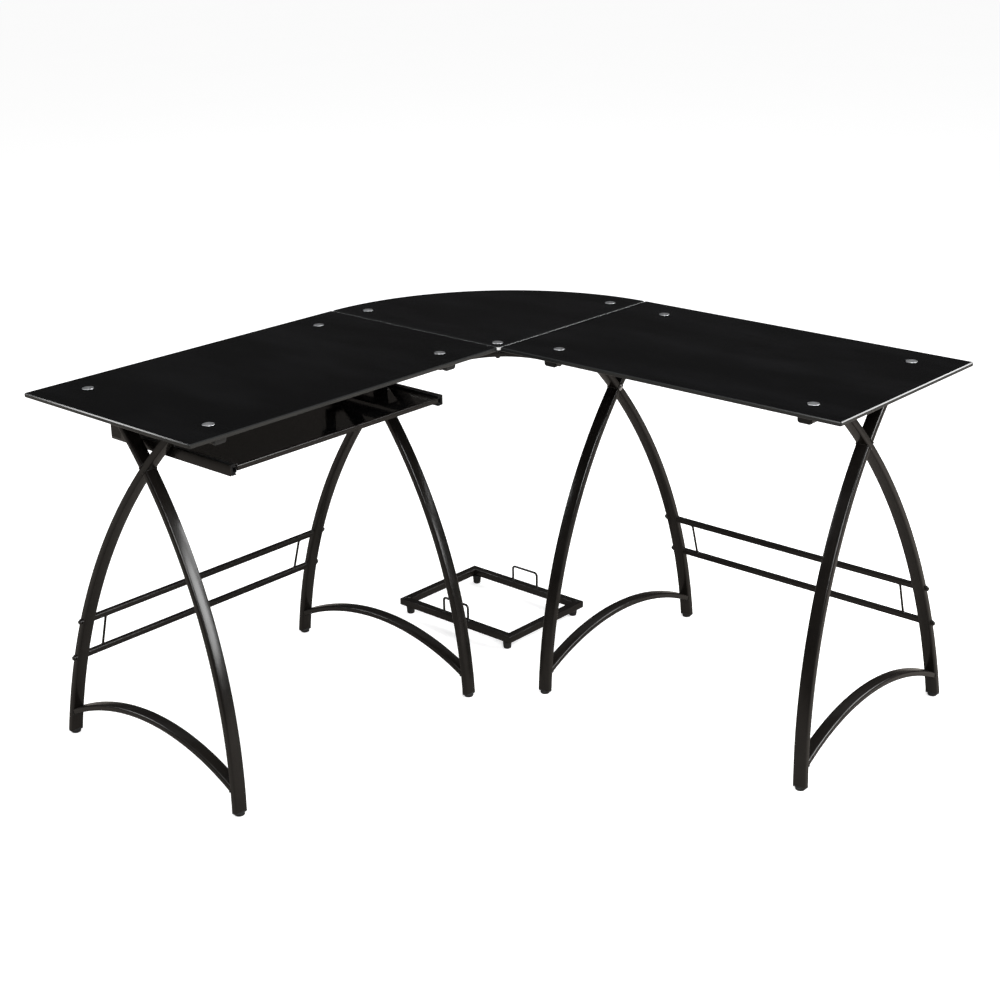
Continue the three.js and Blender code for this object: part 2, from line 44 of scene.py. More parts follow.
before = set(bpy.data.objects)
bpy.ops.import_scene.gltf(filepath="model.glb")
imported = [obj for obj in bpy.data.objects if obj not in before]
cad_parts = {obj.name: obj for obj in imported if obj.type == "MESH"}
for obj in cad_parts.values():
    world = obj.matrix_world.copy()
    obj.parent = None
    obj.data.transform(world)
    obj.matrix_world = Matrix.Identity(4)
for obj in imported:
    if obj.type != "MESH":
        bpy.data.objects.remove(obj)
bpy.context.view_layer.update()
WINGS = {"right": 1, "left": -1}
PLACES = ("outer", "inner")
SMOOTH_ANGLE = 35
SUNK = 0.0004
GLASS_CORNER = 0.004
HOLE_RADIUS = 0.0119
DISC_RADIUS = 0.0115
SEAT_STEP = 0.0022
RAIL_WIDTH = 0.03
RAIL_CORNER = 0.0055
RAIL_PLUG = 0.004
ARM_WIDTH = 0.025
ARM_HEIGHT = 0.012
ARM_INSET = 0.029
BAR_WIDTH = 0.025
BAR_BEND = 0.132
LADDER_BAR = 0.012
LADDER_WIRE = 0.0026
LADDER_WIRES_AT = (0.172, 0.697)
TRAY_RIM = 0.005
TRAY_LEDGE = 0.016
PANE_CHAMFER = 0.0009
BALL_RADIUS = 0.0011
BALL_SPACING = 0.0062
BRACKET_SHEET = 0.0025
BRACKET_BEND = 0.004
BRACKET_TABS = ((0.19, 0.23), (0.352, 0.382))
BRACKET_NUTS_AT = (0.21, 0.367)
STAND_TUBE = (0.018, 0.0175)
STAND_CORNER = 0.0024
WELD_SUNK = 0.0003
WELD_STEPS = 14
HOOP_WIRE = 0.0027
HOOP_BEND = 0.007
HOOP_HALF = 0.0375
FLOOR_HALF = 60.0
LIGHTS_AIM = Vector((0, 0, 0.35))
LIGHTS = (
    ("overhead", (-0.2, -0.2, 4.2), 70, 2.6, 2.6),
    ("camera_bank", (2.9, -2.75, 3.15), 120, 0.9, 1.4),
    ("right_back_bank", (1.4, 2.1, 1.9), 40, 1.1, 1.1),
    ("right_bank", (2.7, 1.35, 1.65), 75, 1.0, 1.6),
    ("left_bank", (-3.2, -1.9, 2.2), 40, 0.8, 1.6),
)
CAMERA_AT = Vector((2.2956, -2.5652, 1.690))
CAMERA_TURN = (41.8577, 19.7908, -0.9859)
UP = Vector((0, 0, 1))


# ---- where things are ----
def seam_corner():
    """The inner corner of the L, on the floor."""
    low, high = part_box("glass_corner")
    return Vector((high.x, low.y, 0))


def wing_matrix(wing):
    """From a wing's own frame (x from the seam, y from front edge to back) to the desk's."""
    corner = Matrix.Translation(seam_corner())
    if wing == "right":
        return corner
    return corner @ Matrix(((0, -1, 0, 0), (-1, 0, 0, 0), (0, 0, 1, 0), (0, 0, 0, 1)))


def frame_matrix(wing, place):
    """From the frame of one pair of legs, upright about x = 0, to the desk's."""
    sizes = bpy.context.scene.desk_sizes
    foot, lean = {
        "outer": (sizes.outer_foot, sizes.outer_lean),
        "inner": (sizes.inner_foot, sizes.inner_lean),
    }[place]
    shear = Matrix(((1, 0, -lean, foot), (0, 1, 0, 0), (0, 0, 1, 0), (0, 0, 0, 1)))
    return wing_matrix(wing) @ shear


def fraction(low, high, t):
    return low + (high - low) * t


# ---- meshes ----
class Shape:
    """Corners and faces of one piece, each face with the number of its finish."""

    def __init__(self):
        self.corners, self.faces, self.finishes, self.uvs = [], [], [], {}

    def add(self, corners, faces, finish=0, place=None, uvs=None):
        start = len(self.corners)
        self.corners += [place @ Vector(c) if place else Vector(c) for c in corners]
        for face in faces:
            if uvs:
                self.uvs[len(self.faces)] = [uvs[i] for i in face]
            self.faces.append([start + i for i in face])
            self.finishes.append(finish)
        return self

    def turn(self, profile, sides, centre, finish=0, mapped=False):
        """Adds a profile turned about a vertical axis."""
        corners, faces, pairs = turned(profile, sides, centre)
        return self.add(corners, faces, finish, None, pairs if mapped else None)

    def make(self, name, finishes, smooth=SMOOTH_ANGLE):
        mesh = bpy.data.meshes.new(name)
        mesh.from_pydata([tuple(c) for c in self.corners], [], self.faces)
        for finish in finishes:
            mesh.materials.append(finish)
        mesh.polygons.foreach_set("material_index", self.finishes)
        if self.uvs:
            layer = mesh.uv_layers.new(name="UVMap")
            for face, uvs in self.uvs.items():
                for loop, uv in zip(mesh.polygons[face].loop_indices, uvs):
                    layer.data[loop].uv = uv
        shell = bmesh.new()
        shell.from_mesh(mesh)
        bmesh.ops.remove_doubles(shell, verts=shell.verts, dist=1e-6)
        bmesh.ops.recalc_face_normals(shell, faces=shell.faces)
        shell.to_mesh(mesh)
        shell.free()
        return shown(name, mesh, smooth)


def shown(name, mesh, smooth=SMOOTH_ANGLE):
    mesh.validate()
    mesh.polygons.foreach_set("use_smooth", [True] * len(mesh.polygons))
    mesh.set_sharp_from_angle(angle=math.radians(smooth))
    made = bpy.data.objects.new(name, mesh)
    bpy.context.collection.objects.link(made)
    return made


def place_on(made, body, slot, *nodes):
    """Hands a finished piece to its body and the solids it stands for; the slot argument is not used.
    """
    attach(made, body)
    if nodes:
        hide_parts(*nodes)
        check_fit(made, nodes)
    return made


def check_fit(made, nodes, allowed=0.012):
    """Raises an error if a piece doesn't lie where the solids it stands for lie."""
    lows, highs = zip(*(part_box(node) for node in nodes))
    points = [made.matrix_world @ v.co for v in made.data.vertices]
    for axis in range(3):
        low = min(p[axis] for p in points) - min(c[axis] for c in lows)
        high = max(p[axis] for p in points) - max(c[axis] for c in highs)
        if max(abs(low), abs(high)) > allowed:
            raise ValueError(f"{made.name} is off its solid by {low:.4f} and {high:.4f} m, axis {axis}")


def rounded(width, height, radius, steps=4):
    """Outline of a rectangle with round corners, anticlockwise."""
    outline = []
    for number, (x, y) in enumerate(((1, -1), (1, 1), (-1, 1), (-1, -1))):
        for step in range(steps + 1):
            angle = math.radians(90 * (number - 1) + 90 * step / steps)
            outline.append((
                x * (width / 2 - radius) + radius * math.cos(angle),
                y * (height / 2 - radius) + radius * math.sin(angle),
            ))
    return outline


def round_outline(radius, sides=12):
    return [
        (radius * math.cos(2 * math.pi * i / sides), radius * math.sin(2 * math.pi * i / sides))
        for i in range(sides)
    ]


def band(a, b, size):
    """Faces between two rings of corners that start at a and b."""
    return [[a + k, a + (k + 1) % size, b + (k + 1) % size, b + k] for k in range(size)]


def swept(points, outline, across, closed=False, start=None, end=None):
    """Corners and faces of an outline carried along points, mitred where they turn.

    across is the outline's first axis. start and end are planes (point, normal) that cut it off.
    """
    points = [Vector(p) for p in points]
    count = len(points)
    across = Vector(across).normalized()
    corners = []
    for i, point in enumerate(points):
        before = point - points[i - 1] if closed or i > 0 else points[1] - point
        after = points[(i + 1) % count] - point if closed or i < count - 1 else before
        before, after = before.normalized(), after.normalized()
        along = (before + after).normalized()
        side = across.cross(along).normalized()
        stretch = 1 / max(0.2, along.dot(after))
        ring = [point + across * u + side * v * stretch for u, v in outline]
        plane = {0: start, count - 1: end}.get(i)
        if plane and not closed:
            where, normal = Vector(plane[0]), Vector(plane[1])
            ring = [p + along * ((where - p).dot(normal) / along.dot(normal)) for p in ring]
        corners += ring
    size = len(outline)
    faces = []
    for i in range(count if closed else count - 1):
        faces += band(i * size, ((i + 1) % count) * size, size)
    if not closed:
        faces.append(list(range(size))[::-1])
        faces.append(list(range((count - 1) * size, count * size)))
    return corners, faces


def turned(profile, sides, centre=(0, 0, 0)):
    """Corners, faces and (radius, turn) pairs of a (radius, height) profile about a vertical axis."""
    corners, pairs = [], []
    for radius, height in profile:
        for i in range(sides):
            angle = 2 * math.pi * i / sides
            corners.append((
                centre[0] + radius * math.cos(angle),
                centre[1] + radius * math.sin(angle),
                centre[2] + height,
            ))
            pairs.append((radius, i / sides))
    faces = []
    for ring in range(len(profile) - 1):
        faces += band(ring * sides, (ring + 1) * sides, sides)
    faces.append(list(range(sides))[::-1])
    faces.append(list(range((len(profile) - 1) * sides, len(profile) * sides)))
    return corners, faces, pairs


def eased_box(low, high, radius=0.001, steps=2):
    """Corners and faces of a box with rounded edges."""
    shell = bmesh.new()
    bmesh.ops.create_cube(shell, size=1)
    low, high = Vector(low), Vector(high)
    for corner in shell.verts:
        corner.co = Vector(
            fraction(low[i], high[i], corner.co[i] + 0.5) for i in range(3)
        )
    bmesh.ops.bevel(
        shell, geom=shell.edges[:], offset=radius, segments=steps, profile=0.5, affect="EDGES",
    )
    corners = [corner.co.copy() for corner in shell.verts]
    faces = [[corner.index for corner in face.verts] for face in shell.faces]
    shell.free()
    return corners, faces


# ---- finishes ----
class Wire:
    """A shader socket that can be added to, multiplied and so on."""

    def __init__(self, recipe, socket):
        self.recipe, self.socket = recipe, socket

    def maths(self, operation, *values):
        made = self.recipe.add("ShaderNodeMath", {"operation": operation}, dict(enumerate(values)))
        return made[0]

    def __add__(self, other):
        return self.maths("ADD", self, other)

    def __sub__(self, other):
        return self.maths("SUBTRACT", self, other)

    def __rsub__(self, other):
        return self.maths("SUBTRACT", other, self)

    def __mul__(self, other):
        return self.maths("MULTIPLY", self, other)

    __radd__ = __add__
    __rmul__ = __mul__


class Outputs:
    """A node's outputs, by name or number."""

    def __init__(self, recipe, node):
        self.recipe, self.node = recipe, node

    def __getitem__(self, key):
        return Wire(self.recipe, self.node.outputs[key])


class Recipe:
    """A material in the making."""

    def __init__(self, name):
        self.material = bpy.data.materials.new(name)
        self.material.use_nodes = True
        self.tree = self.material.node_tree
        self.tree.nodes.clear()

    def add(self, kind, settings=None, sockets=None):
        node = self.tree.nodes.new(kind)
        for key, value in (settings or {}).items():
            if key == "stops":
                self.set_stops(node.color_ramp.elements, value)
            else:
                setattr(node, key, value)
        for key, value in (sockets or {}).items():
            if isinstance(value, Wire):
                self.tree.links.new(value.socket, node.inputs[key])
            else:
                node.inputs[key].default_value = value
        return Outputs(self, node)

    @staticmethod
    def set_stops(elements, stops):
        while len(elements) < len(stops):
            elements.new(0.5)
        for element, (position, value) in zip(elements, stops):
            element.position = position
            element.color = (*value, 1) if isinstance(value, tuple) else (value, value, value, 1)

    def place(self):
        return self.add("ShaderNodeTexCoord")["Object"]

    def stretched(self, scale, vector=None):
        return self.add(
            "ShaderNodeMapping", None, {"Vector": vector or self.place(), "Scale": scale},
        )["Vector"]

    def noise(self, scale, detail=2.0, vector=None, roughness=0.5):
        return self.add("ShaderNodeTexNoise", None, {
            "Vector": vector or self.place(), "Scale": scale, "Detail": detail, "Roughness": roughness,
        })["Fac"]

    def ramp(self, value, *stops):
        return self.add("ShaderNodeValToRGB", {"stops": stops}, {"Fac": value})["Color"]

    def mixed(self, factor, first, second):
        return self.add(
            "ShaderNodeMix", {"data_type": "RGBA"}, {0: factor, 6: (*first, 1), 7: (*second, 1)},
        )[2]

    def bump(self, height, distance, strength=1.0):
        return self.add(
            "ShaderNodeBump", None, {"Height": height, "Distance": distance, "Strength": strength},
        )["Normal"]

    def surface(self, sockets):
        shader = self.add("ShaderNodeBsdfPrincipled", None, sockets)
        self.add("ShaderNodeOutputMaterial", None, {"Surface": shader["BSDF"]})
        return self.material


def shade(colour, factor):
    return tuple(min(1.0, channel * factor) for channel in colour)


def finish(maker):
    """The material that a maker makes, made on first use."""
    name = "finish_" + maker.__name__
    return bpy.data.materials.get(name) or maker(name, bpy.context.scene.desk_finishes)


def powder_coat(name, looks):
    """Satin black baked powder: fine orange peel, a little dust, slightly uneven gloss."""
    recipe = Recipe(name)
    peel = recipe.noise(520, 3)
    grit = recipe.noise(2600, 1)
    drift = recipe.noise(9, 4)
    dust = recipe.noise(70, 5, roughness=0.65)
    height = peel * 0.7 + grit * 0.3
    cloud = recipe.ramp(drift * 0.6 + dust * 0.4, (0.38, 0.0), (0.66, 1.0))
    return recipe.surface({
        "Base Color": recipe.mixed(cloud, shade(looks.powder, 0.8), shade(looks.powder, 1.35)),
        "Roughness": 0.13 + drift * 0.1 + dust * 0.08,
        "Normal": recipe.bump(height, 0.0001, 0.35),
        "Specular IOR Level": 0.36,
    })


def black_glass(name, looks):
    """Black glass, polished, with faint wiped smears."""
    recipe = Recipe(name)
    smear = recipe.noise(3.5, 4, recipe.stretched((1.0, 3.2, 1.0)), 0.6)
    speck = recipe.noise(420, 2)
    film = recipe.ramp(smear, (0.42, 0.0), (0.72, 1.0))
    dust = recipe.ramp(speck, (0.66, 0.0), (0.74, 1.0))
    mask = film * 0.75 + dust * 0.25
    return recipe.surface({
        "Base Color": recipe.mixed(mask, shade(looks.glass, 0.7), shade(looks.glass, 2.2)),
        "Roughness": 0.04 + film * 0.07 + dust * 0.15,
        "Specular IOR Level": 0.3,
    })


def glass_edge(name, looks):
    """The rim of the glass, finished by grinding and polishing."""
    recipe = Recipe(name)
    grind = recipe.noise(60, 3, recipe.stretched((1, 1, 40)))
    patch = recipe.noise(14, 3)
    return recipe.surface({
        "Base Color": recipe.mixed(grind, shade(looks.glass_edge, 0.75), shade(looks.glass_edge, 1.25)),
        "Roughness": 0.12 + patch * 0.1,
        "Normal": recipe.bump(grind, 0.00005, 0.3),
    })


def ground_edge(name, looks):
    """Painted highlight: a pale matt colour with grinding streaks on the glass edges where two panels
    meet and on the tray pane's edges, standing in for the light seen through the seams and along the
    tray's rim.
    """
    recipe = Recipe(name)
    grind = recipe.noise(90, 3, recipe.stretched((1, 1, 30)))
    patch = recipe.noise(18, 3)
    return recipe.surface({
        "Base Color": recipe.mixed(grind, shade(looks.ground, 0.8), shade(looks.ground, 1.1)),
        "Roughness": 0.4 + patch * 0.2,
        "Normal": recipe.bump(grind, 0.00005, 0.4),
    })


def brushed_disc(name, looks):
    """Metal brushed in circles about each disc's own centre."""
    recipe = Recipe(name)
    pair = recipe.add("ShaderNodeSeparateXYZ", None, {
        "Vector": recipe.add("ShaderNodeUVMap", {"uv_map": "UVMap"})["UV"],
    })
    ring = recipe.add("ShaderNodeCombineXYZ", None, {"X": pair["X"] * 1800, "Y": pair["Y"] * 1.5})
    groove = recipe.noise(1.0, 3, ring["Vector"], 0.7)
    tarnish = recipe.noise(160, 3)
    return recipe.surface({
        "Base Color": recipe.mixed(groove, shade(looks.metal, 0.86), shade(looks.metal, 1.1)),
        "Metallic": 1.0,
        "Roughness": 0.3 + tarnish * 0.1,
        "Normal": recipe.bump(groove, 0.0005, 1.0),
    })


def black_plastic(name, looks):
    """Moulded black plastic with a fine spark-eroded grain."""
    recipe = Recipe(name)
    grain = recipe.noise(1500, 2)
    scuff = recipe.noise(55, 4)
    worn = recipe.ramp(scuff, (0.5, 0.0), (0.8, 1.0))
    return recipe.surface({
        "Base Color": recipe.mixed(worn, shade(looks.plastic, 0.9), shade(looks.plastic, 2.2)),
        "Roughness": 0.5 + grain * 0.15,
        "Normal": recipe.bump(grain, 0.00008, 0.6),
    })


def slide_zinc(name, looks):
    """Rolled slide steel with black zinc and fine drawing lines along its length."""
    recipe = Recipe(name)
    lines = recipe.noise(26, 3, recipe.stretched((1, 60, 60)))
    bloom = recipe.noise(40, 3)
    return recipe.surface({
        "Base Color": recipe.mixed(bloom, shade(looks.slide, 0.8), shade(looks.slide, 1.6)),
        "Metallic": 0.85,
        "Roughness": 0.26 + lines * 0.2,
        "Normal": recipe.bump(lines, 0.00006, 0.5),
    })


def bright_zinc(name, looks):
    """Clear zinc on screws, ball retainers and cut steel edges."""
    recipe = Recipe(name)
    bloom = recipe.add(
        "ShaderNodeTexVoronoi", None, {"Vector": recipe.place(), "Scale": 260.0},
    )["Distance"]
    haze = recipe.noise(120, 3)
    return recipe.surface({
        "Base Color": recipe.mixed(bloom, shade(looks.metal, 0.95), shade(looks.metal, 0.7)),
        "Metallic": 1.0,
        "Roughness": 0.22 + haze * 0.2,
    })


def floor_paint(name, looks):
    """Pale matt studio floor, lit a little from below as a light table is."""
    recipe = Recipe(name)
    cloud = recipe.noise(1.3, 3)
    seen = recipe.add("ShaderNodeLightPath")["Is Camera Ray"]
    lit = recipe.add("ShaderNodeBsdfPrincipled", None, {
        "Base Color": recipe.mixed(cloud, shade(looks.floor, 0.985), looks.floor),
        "Roughness": 0.75 + cloud * 0.1,
        "Specular IOR Level": 0.0,
        "Emission Color": (1, 1, 1, 1),
        "Emission Strength": 0.42,
    })["BSDF"]
    dim = recipe.add("ShaderNodeBsdfDiffuse", None, {"Color": (0.3, 0.275, 0.25, 1)})["BSDF"]
    both = recipe.add("ShaderNodeMixShader", None, {0: seen, 1: dim, 2: lit})["Shader"]
    recipe.add("ShaderNodeOutputMaterial", None, {"Surface": both})
    return recipe.material


# ---- sizes and looks that can be changed ----
def metres(name, description, default, low=0.0):
    return FloatProperty(
        name=name, description=description, default=default, min=low, unit="LENGTH", precision=4,
    )


def colour(name, description, default):
    return FloatVectorProperty(
        name=name, description=description, default=default, size=3, subtype="COLOR", min=0, max=1,
    )


class DeskSizes(PropertyGroup):
    """Sizes of the tubes, glass and fittings."""

    glass_bevel: metres("Glass edge", "Polished bevel round each glass panel", 0.0017)
    disc_bevel: metres("Disc edge", "Rounded edge of the discs in the glass", 0.0009)
    leg_width: metres("Leg width", "Leg tube across its frame", 0.028)
    leg_depth: metres("Leg depth", "Leg tube in the plane of its frame", 0.015)
    leg_corner: metres("Leg corner", "Corner radius of the leg tube", 0.0038)
    leg_radius: metres("Leg bend", "Bending radius of a leg's centre line", 1.065)
    foot_spread: metres("Foot spread", "Foot centre to the middle of its frame", 0.258)
    foot_angle: FloatProperty(
        name="Foot angle", description="Angle of a leg to the vertical at the floor",
        default=math.radians(4.3), unit="ROTATION",
    )
    wing_depth: metres("Wing depth", "Front edge to back edge of a wing", 0.494)
    outer_foot: metres("Outer frame", "Seam to the outer frame on the floor", 0.763)
    inner_foot: metres("Inner frame", "Seam to the inner frame on the floor", 0.126)
    outer_lean: FloatProperty(
        name="Outer lean", description="Sideways lean of the outer frames over height", default=0.0816,
    )
    inner_lean: FloatProperty(
        name="Inner lean", description="Sideways lean of the inner frames over height", default=0.027,
    )
    arch_width: metres("Arch width", "Arch tube across its frame", 0.026)
    arch_depth: metres("Arch depth", "Arch tube in the plane of its frame", 0.012)
    arch_end: metres("Arch ends", "Height of the arch at the legs", 0.048)
    arch_top: metres("Arch top", "Height of the arch at its middle", 0.112)
    bead: metres("Weld bead", "Radius of the weld beads", 0.0016)
    bolt_radius: metres("Bolt head", "Radius of the frame bolts' heads", 0.0048)
    leg_steps: IntProperty(name="Leg steps", description="Rings along one leg", default=40, min=8)


class DeskFinishes(PropertyGroup):
    """Colours of the finishes."""

    powder: colour("Powder coat", "Satin black of the tubes", (0.0072, 0.0062, 0.0054))
    glass: colour("Glass", "Black of the glass", (0.0022, 0.0022, 0.0024))
    glass_edge: colour("Glass rim", "Ground rim of the glass", (0.012, 0.013, 0.013))
    # Painted highlight: pale colour for the glass edges at the seams and round the tray pane, standing
    # in for the light seen there.
    ground: colour("Ground edge", "Pale edge of the glass at the seams", (0.85, 0.86, 0.86))
    metal: colour("Metal", "Brushed discs and bright zinc", (0.74, 0.75, 0.77))
    plastic: colour("Plastic", "Glides and end plugs", (0.012, 0.012, 0.012))
    slide: colour("Slides", "Black zinc of the slides", (0.03, 0.031, 0.033))
    floor: colour("Floor", "Studio floor", (0.9, 0.9, 0.9))


# ---- legs' curves ----
def leg_spread(sizes, height):
    """Distance of a leg's centre line from the middle of its frame, negative past the crossing."""
    sine = math.sin(sizes.foot_angle) + height / sizes.leg_radius
    drop = math.cos(sizes.foot_angle) - math.sqrt(1 - sine * sine)
    return sizes.foot_spread - sizes.leg_radius * drop


def leg_point(sizes, side, height):
    return Vector((0, sizes.wing_depth / 2 + side * leg_spread(sizes, height), height))


def leg_slope(sizes, side, height):
    """Direction of a leg's centre line."""
    step = 0.0005
    ahead = leg_point(sizes, side, height + step) - leg_point(sizes, side, height - step)
    return ahead.normalized()


def crossing_height(sizes):
    cosine = math.cos(sizes.foot_angle) - sizes.foot_spread / sizes.leg_radius
    return sizes.leg_radius * (math.sqrt(1 - cosine * cosine) - math.sin(sizes.foot_angle))


def leg_path(sizes, side, low, high):
    steps = max(4, round(sizes.leg_steps * (high - low) / 0.7))
    return [leg_point(sizes, side, fraction(low, high, i / steps)) for i in range(steps + 1)]


def rear_face(sizes, towards, sink):
    """Plane of the through leg's face at the crossing, on the side that a point lies on."""
    height = crossing_height(sizes)
    centre = leg_point(sizes, 1, height)
    normal = Vector((1, 0, 0)).cross(leg_slope(sizes, 1, height)).normalized()
    if (towards - centre).dot(normal) < 0:
        normal = -normal
    return centre + normal * (sizes.leg_depth / 2 - sink), normal


def arch_path(sizes, steps=28):
    half = leg_spread(sizes, sizes.arch_end) - sizes.leg_depth / 2 + 0.001
    full = leg_spread(sizes, sizes.arch_end)
    rise = sizes.arch_top - sizes.arch_end
    radius = (full * full + rise * rise) / (2 * rise)
    reach = math.asin(half / radius)
    points = []
    for i in range(steps + 1):
        angle = fraction(-reach, reach, i / steps)
        points.append(Vector((
            0,
            sizes.wing_depth / 2 + radius * math.sin(angle),
            sizes.arch_top - radius * (1 - math.cos(angle)),
        )))
    return points


def frame_tubes(sizes, under):
    """Each tube of one upright frame as (name, path, outline, start plane, end plane)."""
    leg = rounded(sizes.leg_width, sizes.leg_depth, sizes.leg_corner)
    arch = rounded(sizes.arch_width, sizes.arch_depth, sizes.leg_corner * 0.9)
    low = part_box("frame_right_outer_foot_front")[1].z
    cross = crossing_height(sizes)
    floor, top = (Vector((0, 0, low)), UP), (Vector((0, 0, under)), UP)
    below = rear_face(sizes, leg_point(sizes, -1, cross - 0.05), 0.0006)
    above = rear_face(sizes, leg_point(sizes, -1, cross + 0.05), 0.0006)
    path = arch_path(sizes)
    return [
        ("rear_leg", leg_path(sizes, 1, low, under), leg, floor, top),
        ("front_leg_lower", leg_path(sizes, -1, low, cross - 0.006), leg, floor, below),
        ("front_leg_upper", leg_path(sizes, -1, cross + 0.006, under), leg, above, top),
        ("arch", path, arch, None, None),
    ]


def bead_ring(corners, size, last, radius):
    """A weld bead round the first or last ring of a swept tube, a little uneven as laid by hand."""
    ring = corners[-size:] if last else corners[:size]
    inner = corners[-2 * size:-size] if last else corners[size:2 * size]
    centre = sum(ring, Vector()) / size
    away = (sum(inner, Vector()) / size - centre).normalized()
    path, bead_corners, faces = [], [], []
    for i, corner in enumerate(ring):
        path.append(corner)
        path.append((corner + ring[(i + 1) % size]) / 2)
    fine = []
    for i, corner in enumerate(path):
        following = path[(i + 1) % len(path)]
        parts = max(1, round((following - corner).length / (radius * 1.1)))
        fine += [corner.lerp(following, k / parts) for k in range(parts)]
    sides = 6
    for i, corner in enumerate(fine):
        outward = corner - centre
        outward = (outward - away * outward.dot(away)).normalized()
        swell = radius * (1 + 0.22 * math.sin(i * 2.4) + 0.1 * math.sin(i * 1.3 + 1))
        for k in range(sides):
            angle = 2 * math.pi * k / sides
            bead_corners.append(
                corner + outward * swell * math.cos(angle) + away * swell * math.sin(angle),
            )
    count = len(fine)
    for i in range(count):
        faces += band(i * sides, ((i + 1) % count) * sides, sides)
    return bead_corners, faces


# ---- Geometry Nodes for what repeats ----
class Tree:
    """A geometry node tree with named inputs."""

    def __init__(self, name, inputs):
        self.group = bpy.data.node_groups.new(name, "GeometryNodeTree")
        face = self.group.interface
        face.new_socket("Geometry", in_out="INPUT", socket_type="NodeSocketGeometry")
        for label, (kind, default) in inputs.items():
            made = face.new_socket(label, in_out="INPUT", socket_type=kind)
            if default is not None:
                made.default_value = default
        face.new_socket("Geometry", in_out="OUTPUT", socket_type="NodeSocketGeometry")
        self.start = self.group.nodes.new("NodeGroupInput")
        self.end = self.group.nodes.new("NodeGroupOutput")

    def given(self, label):
        return self.start.outputs[label]

    def add(self, kind, settings=None, sockets=None):
        node = self.group.nodes.new(kind)
        for key, value in (settings or {}).items():
            setattr(node, key, value)
        for key, value in (sockets or {}).items():
            values = value if isinstance(value, list) else [value]
            for one in values:
                if isinstance(one, bpy.types.NodeSocket):
                    self.group.links.new(one, node.inputs[key])
                else:
                    node.inputs[key].default_value = one
        return node

    def maths(self, operation, first, second):
        return self.add("ShaderNodeMath", {"operation": operation}, {0: first, 1: second}).outputs[0]

    def lifted(self, geometry, height):
        vector = self.add("ShaderNodeCombineXYZ", None, {"Z": height}).outputs[0]
        return self.add(
            "GeometryNodeTransform", None, {"Geometry": geometry, "Translation": vector},
        ).outputs[0]

    def coated(self, geometry, material):
        return self.add(
            "GeometryNodeSetMaterial", None, {"Geometry": geometry, "Material": material},
        ).outputs[0]

    def spread(self, instance, aim):
        """Stands the instance on every point, its z along the point's aim."""
        sockets = {"Points": self.given("Geometry"), "Instance": instance}
        if aim:
            wanted = self.add(
                "GeometryNodeInputNamedAttribute", {"data_type": "FLOAT_VECTOR"}, {"Name": "aim"},
            ).outputs["Attribute"]
            sockets["Rotation"] = self.add(
                "FunctionNodeAlignRotationToVector", {"axis": "Z"}, {"Vector": wanted},
            ).outputs[0]
        placed = self.add("GeometryNodeInstanceOnPoints", None, sockets).outputs[0]
        return self.add("GeometryNodeRealizeInstances", None, {"Geometry": placed}).outputs[0]

    def finish(self, geometry, smooth=True):
        softened = self.add(
            "GeometryNodeSetShadeSmooth", None, {"Geometry": geometry, "Shade Smooth": smooth},
        ).outputs[0]
        self.group.links.new(softened, self.end.inputs[0])
        return self.group


def fastener_tree():
    """A washer with a chamfered head on it, one on every point."""
    tree = Tree("fastener", {
        "Radius": ("NodeSocketFloat", 0.0048),
        "Height": ("NodeSocketFloat", 0.0045),
        "Sides": ("NodeSocketInt", 6),
        "Washer": ("NodeSocketMaterial", None),
        "Head": ("NodeSocketMaterial", None),
    })
    radius, height = tree.given("Radius"), tree.given("Height")
    thin = tree.maths("MULTIPLY", height, 0.28)
    washer = tree.add("GeometryNodeMeshCylinder", None, {
        "Vertices": 24, "Radius": tree.maths("MULTIPLY", radius, 1.35), "Depth": thin,
    }).outputs["Mesh"]
    body = tree.maths("MULTIPLY", height, 0.7)
    shank = tree.add("GeometryNodeMeshCylinder", None, {
        "Vertices": tree.given("Sides"), "Radius": radius, "Depth": body,
    }).outputs["Mesh"]
    crown = tree.add("GeometryNodeMeshCone", None, {
        "Vertices": tree.given("Sides"), "Radius Top": tree.maths("MULTIPLY", radius, 0.72),
        "Radius Bottom": radius, "Depth": tree.maths("MULTIPLY", height, 0.3),
    }).outputs["Mesh"]
    parts = tree.add("GeometryNodeJoinGeometry", None, {"Geometry": [
        tree.coated(tree.lifted(washer, tree.maths("MULTIPLY", height, 0.14)), tree.given("Washer")),
        tree.coated(tree.lifted(shank, tree.maths("MULTIPLY", height, 0.5)), tree.given("Head")),
        tree.coated(tree.lifted(crown, tree.maths("MULTIPLY", height, 0.85)), tree.given("Head")),
    ]}).outputs[0]
    return tree.finish(tree.spread(parts, True), False)


def ball_tree():
    """A ball on every point."""
    tree = Tree("bearing_balls", {
        "Radius": ("NodeSocketFloat", 0.0016),
        "Material": ("NodeSocketMaterial", None),
    })
    ball = tree.add("GeometryNodeMeshIcoSphere", None, {
        "Radius": tree.given("Radius"), "Subdivisions": 2,
    }).outputs["Mesh"]
    return tree.finish(tree.coated(tree.spread(ball, False), tree.given("Material")))


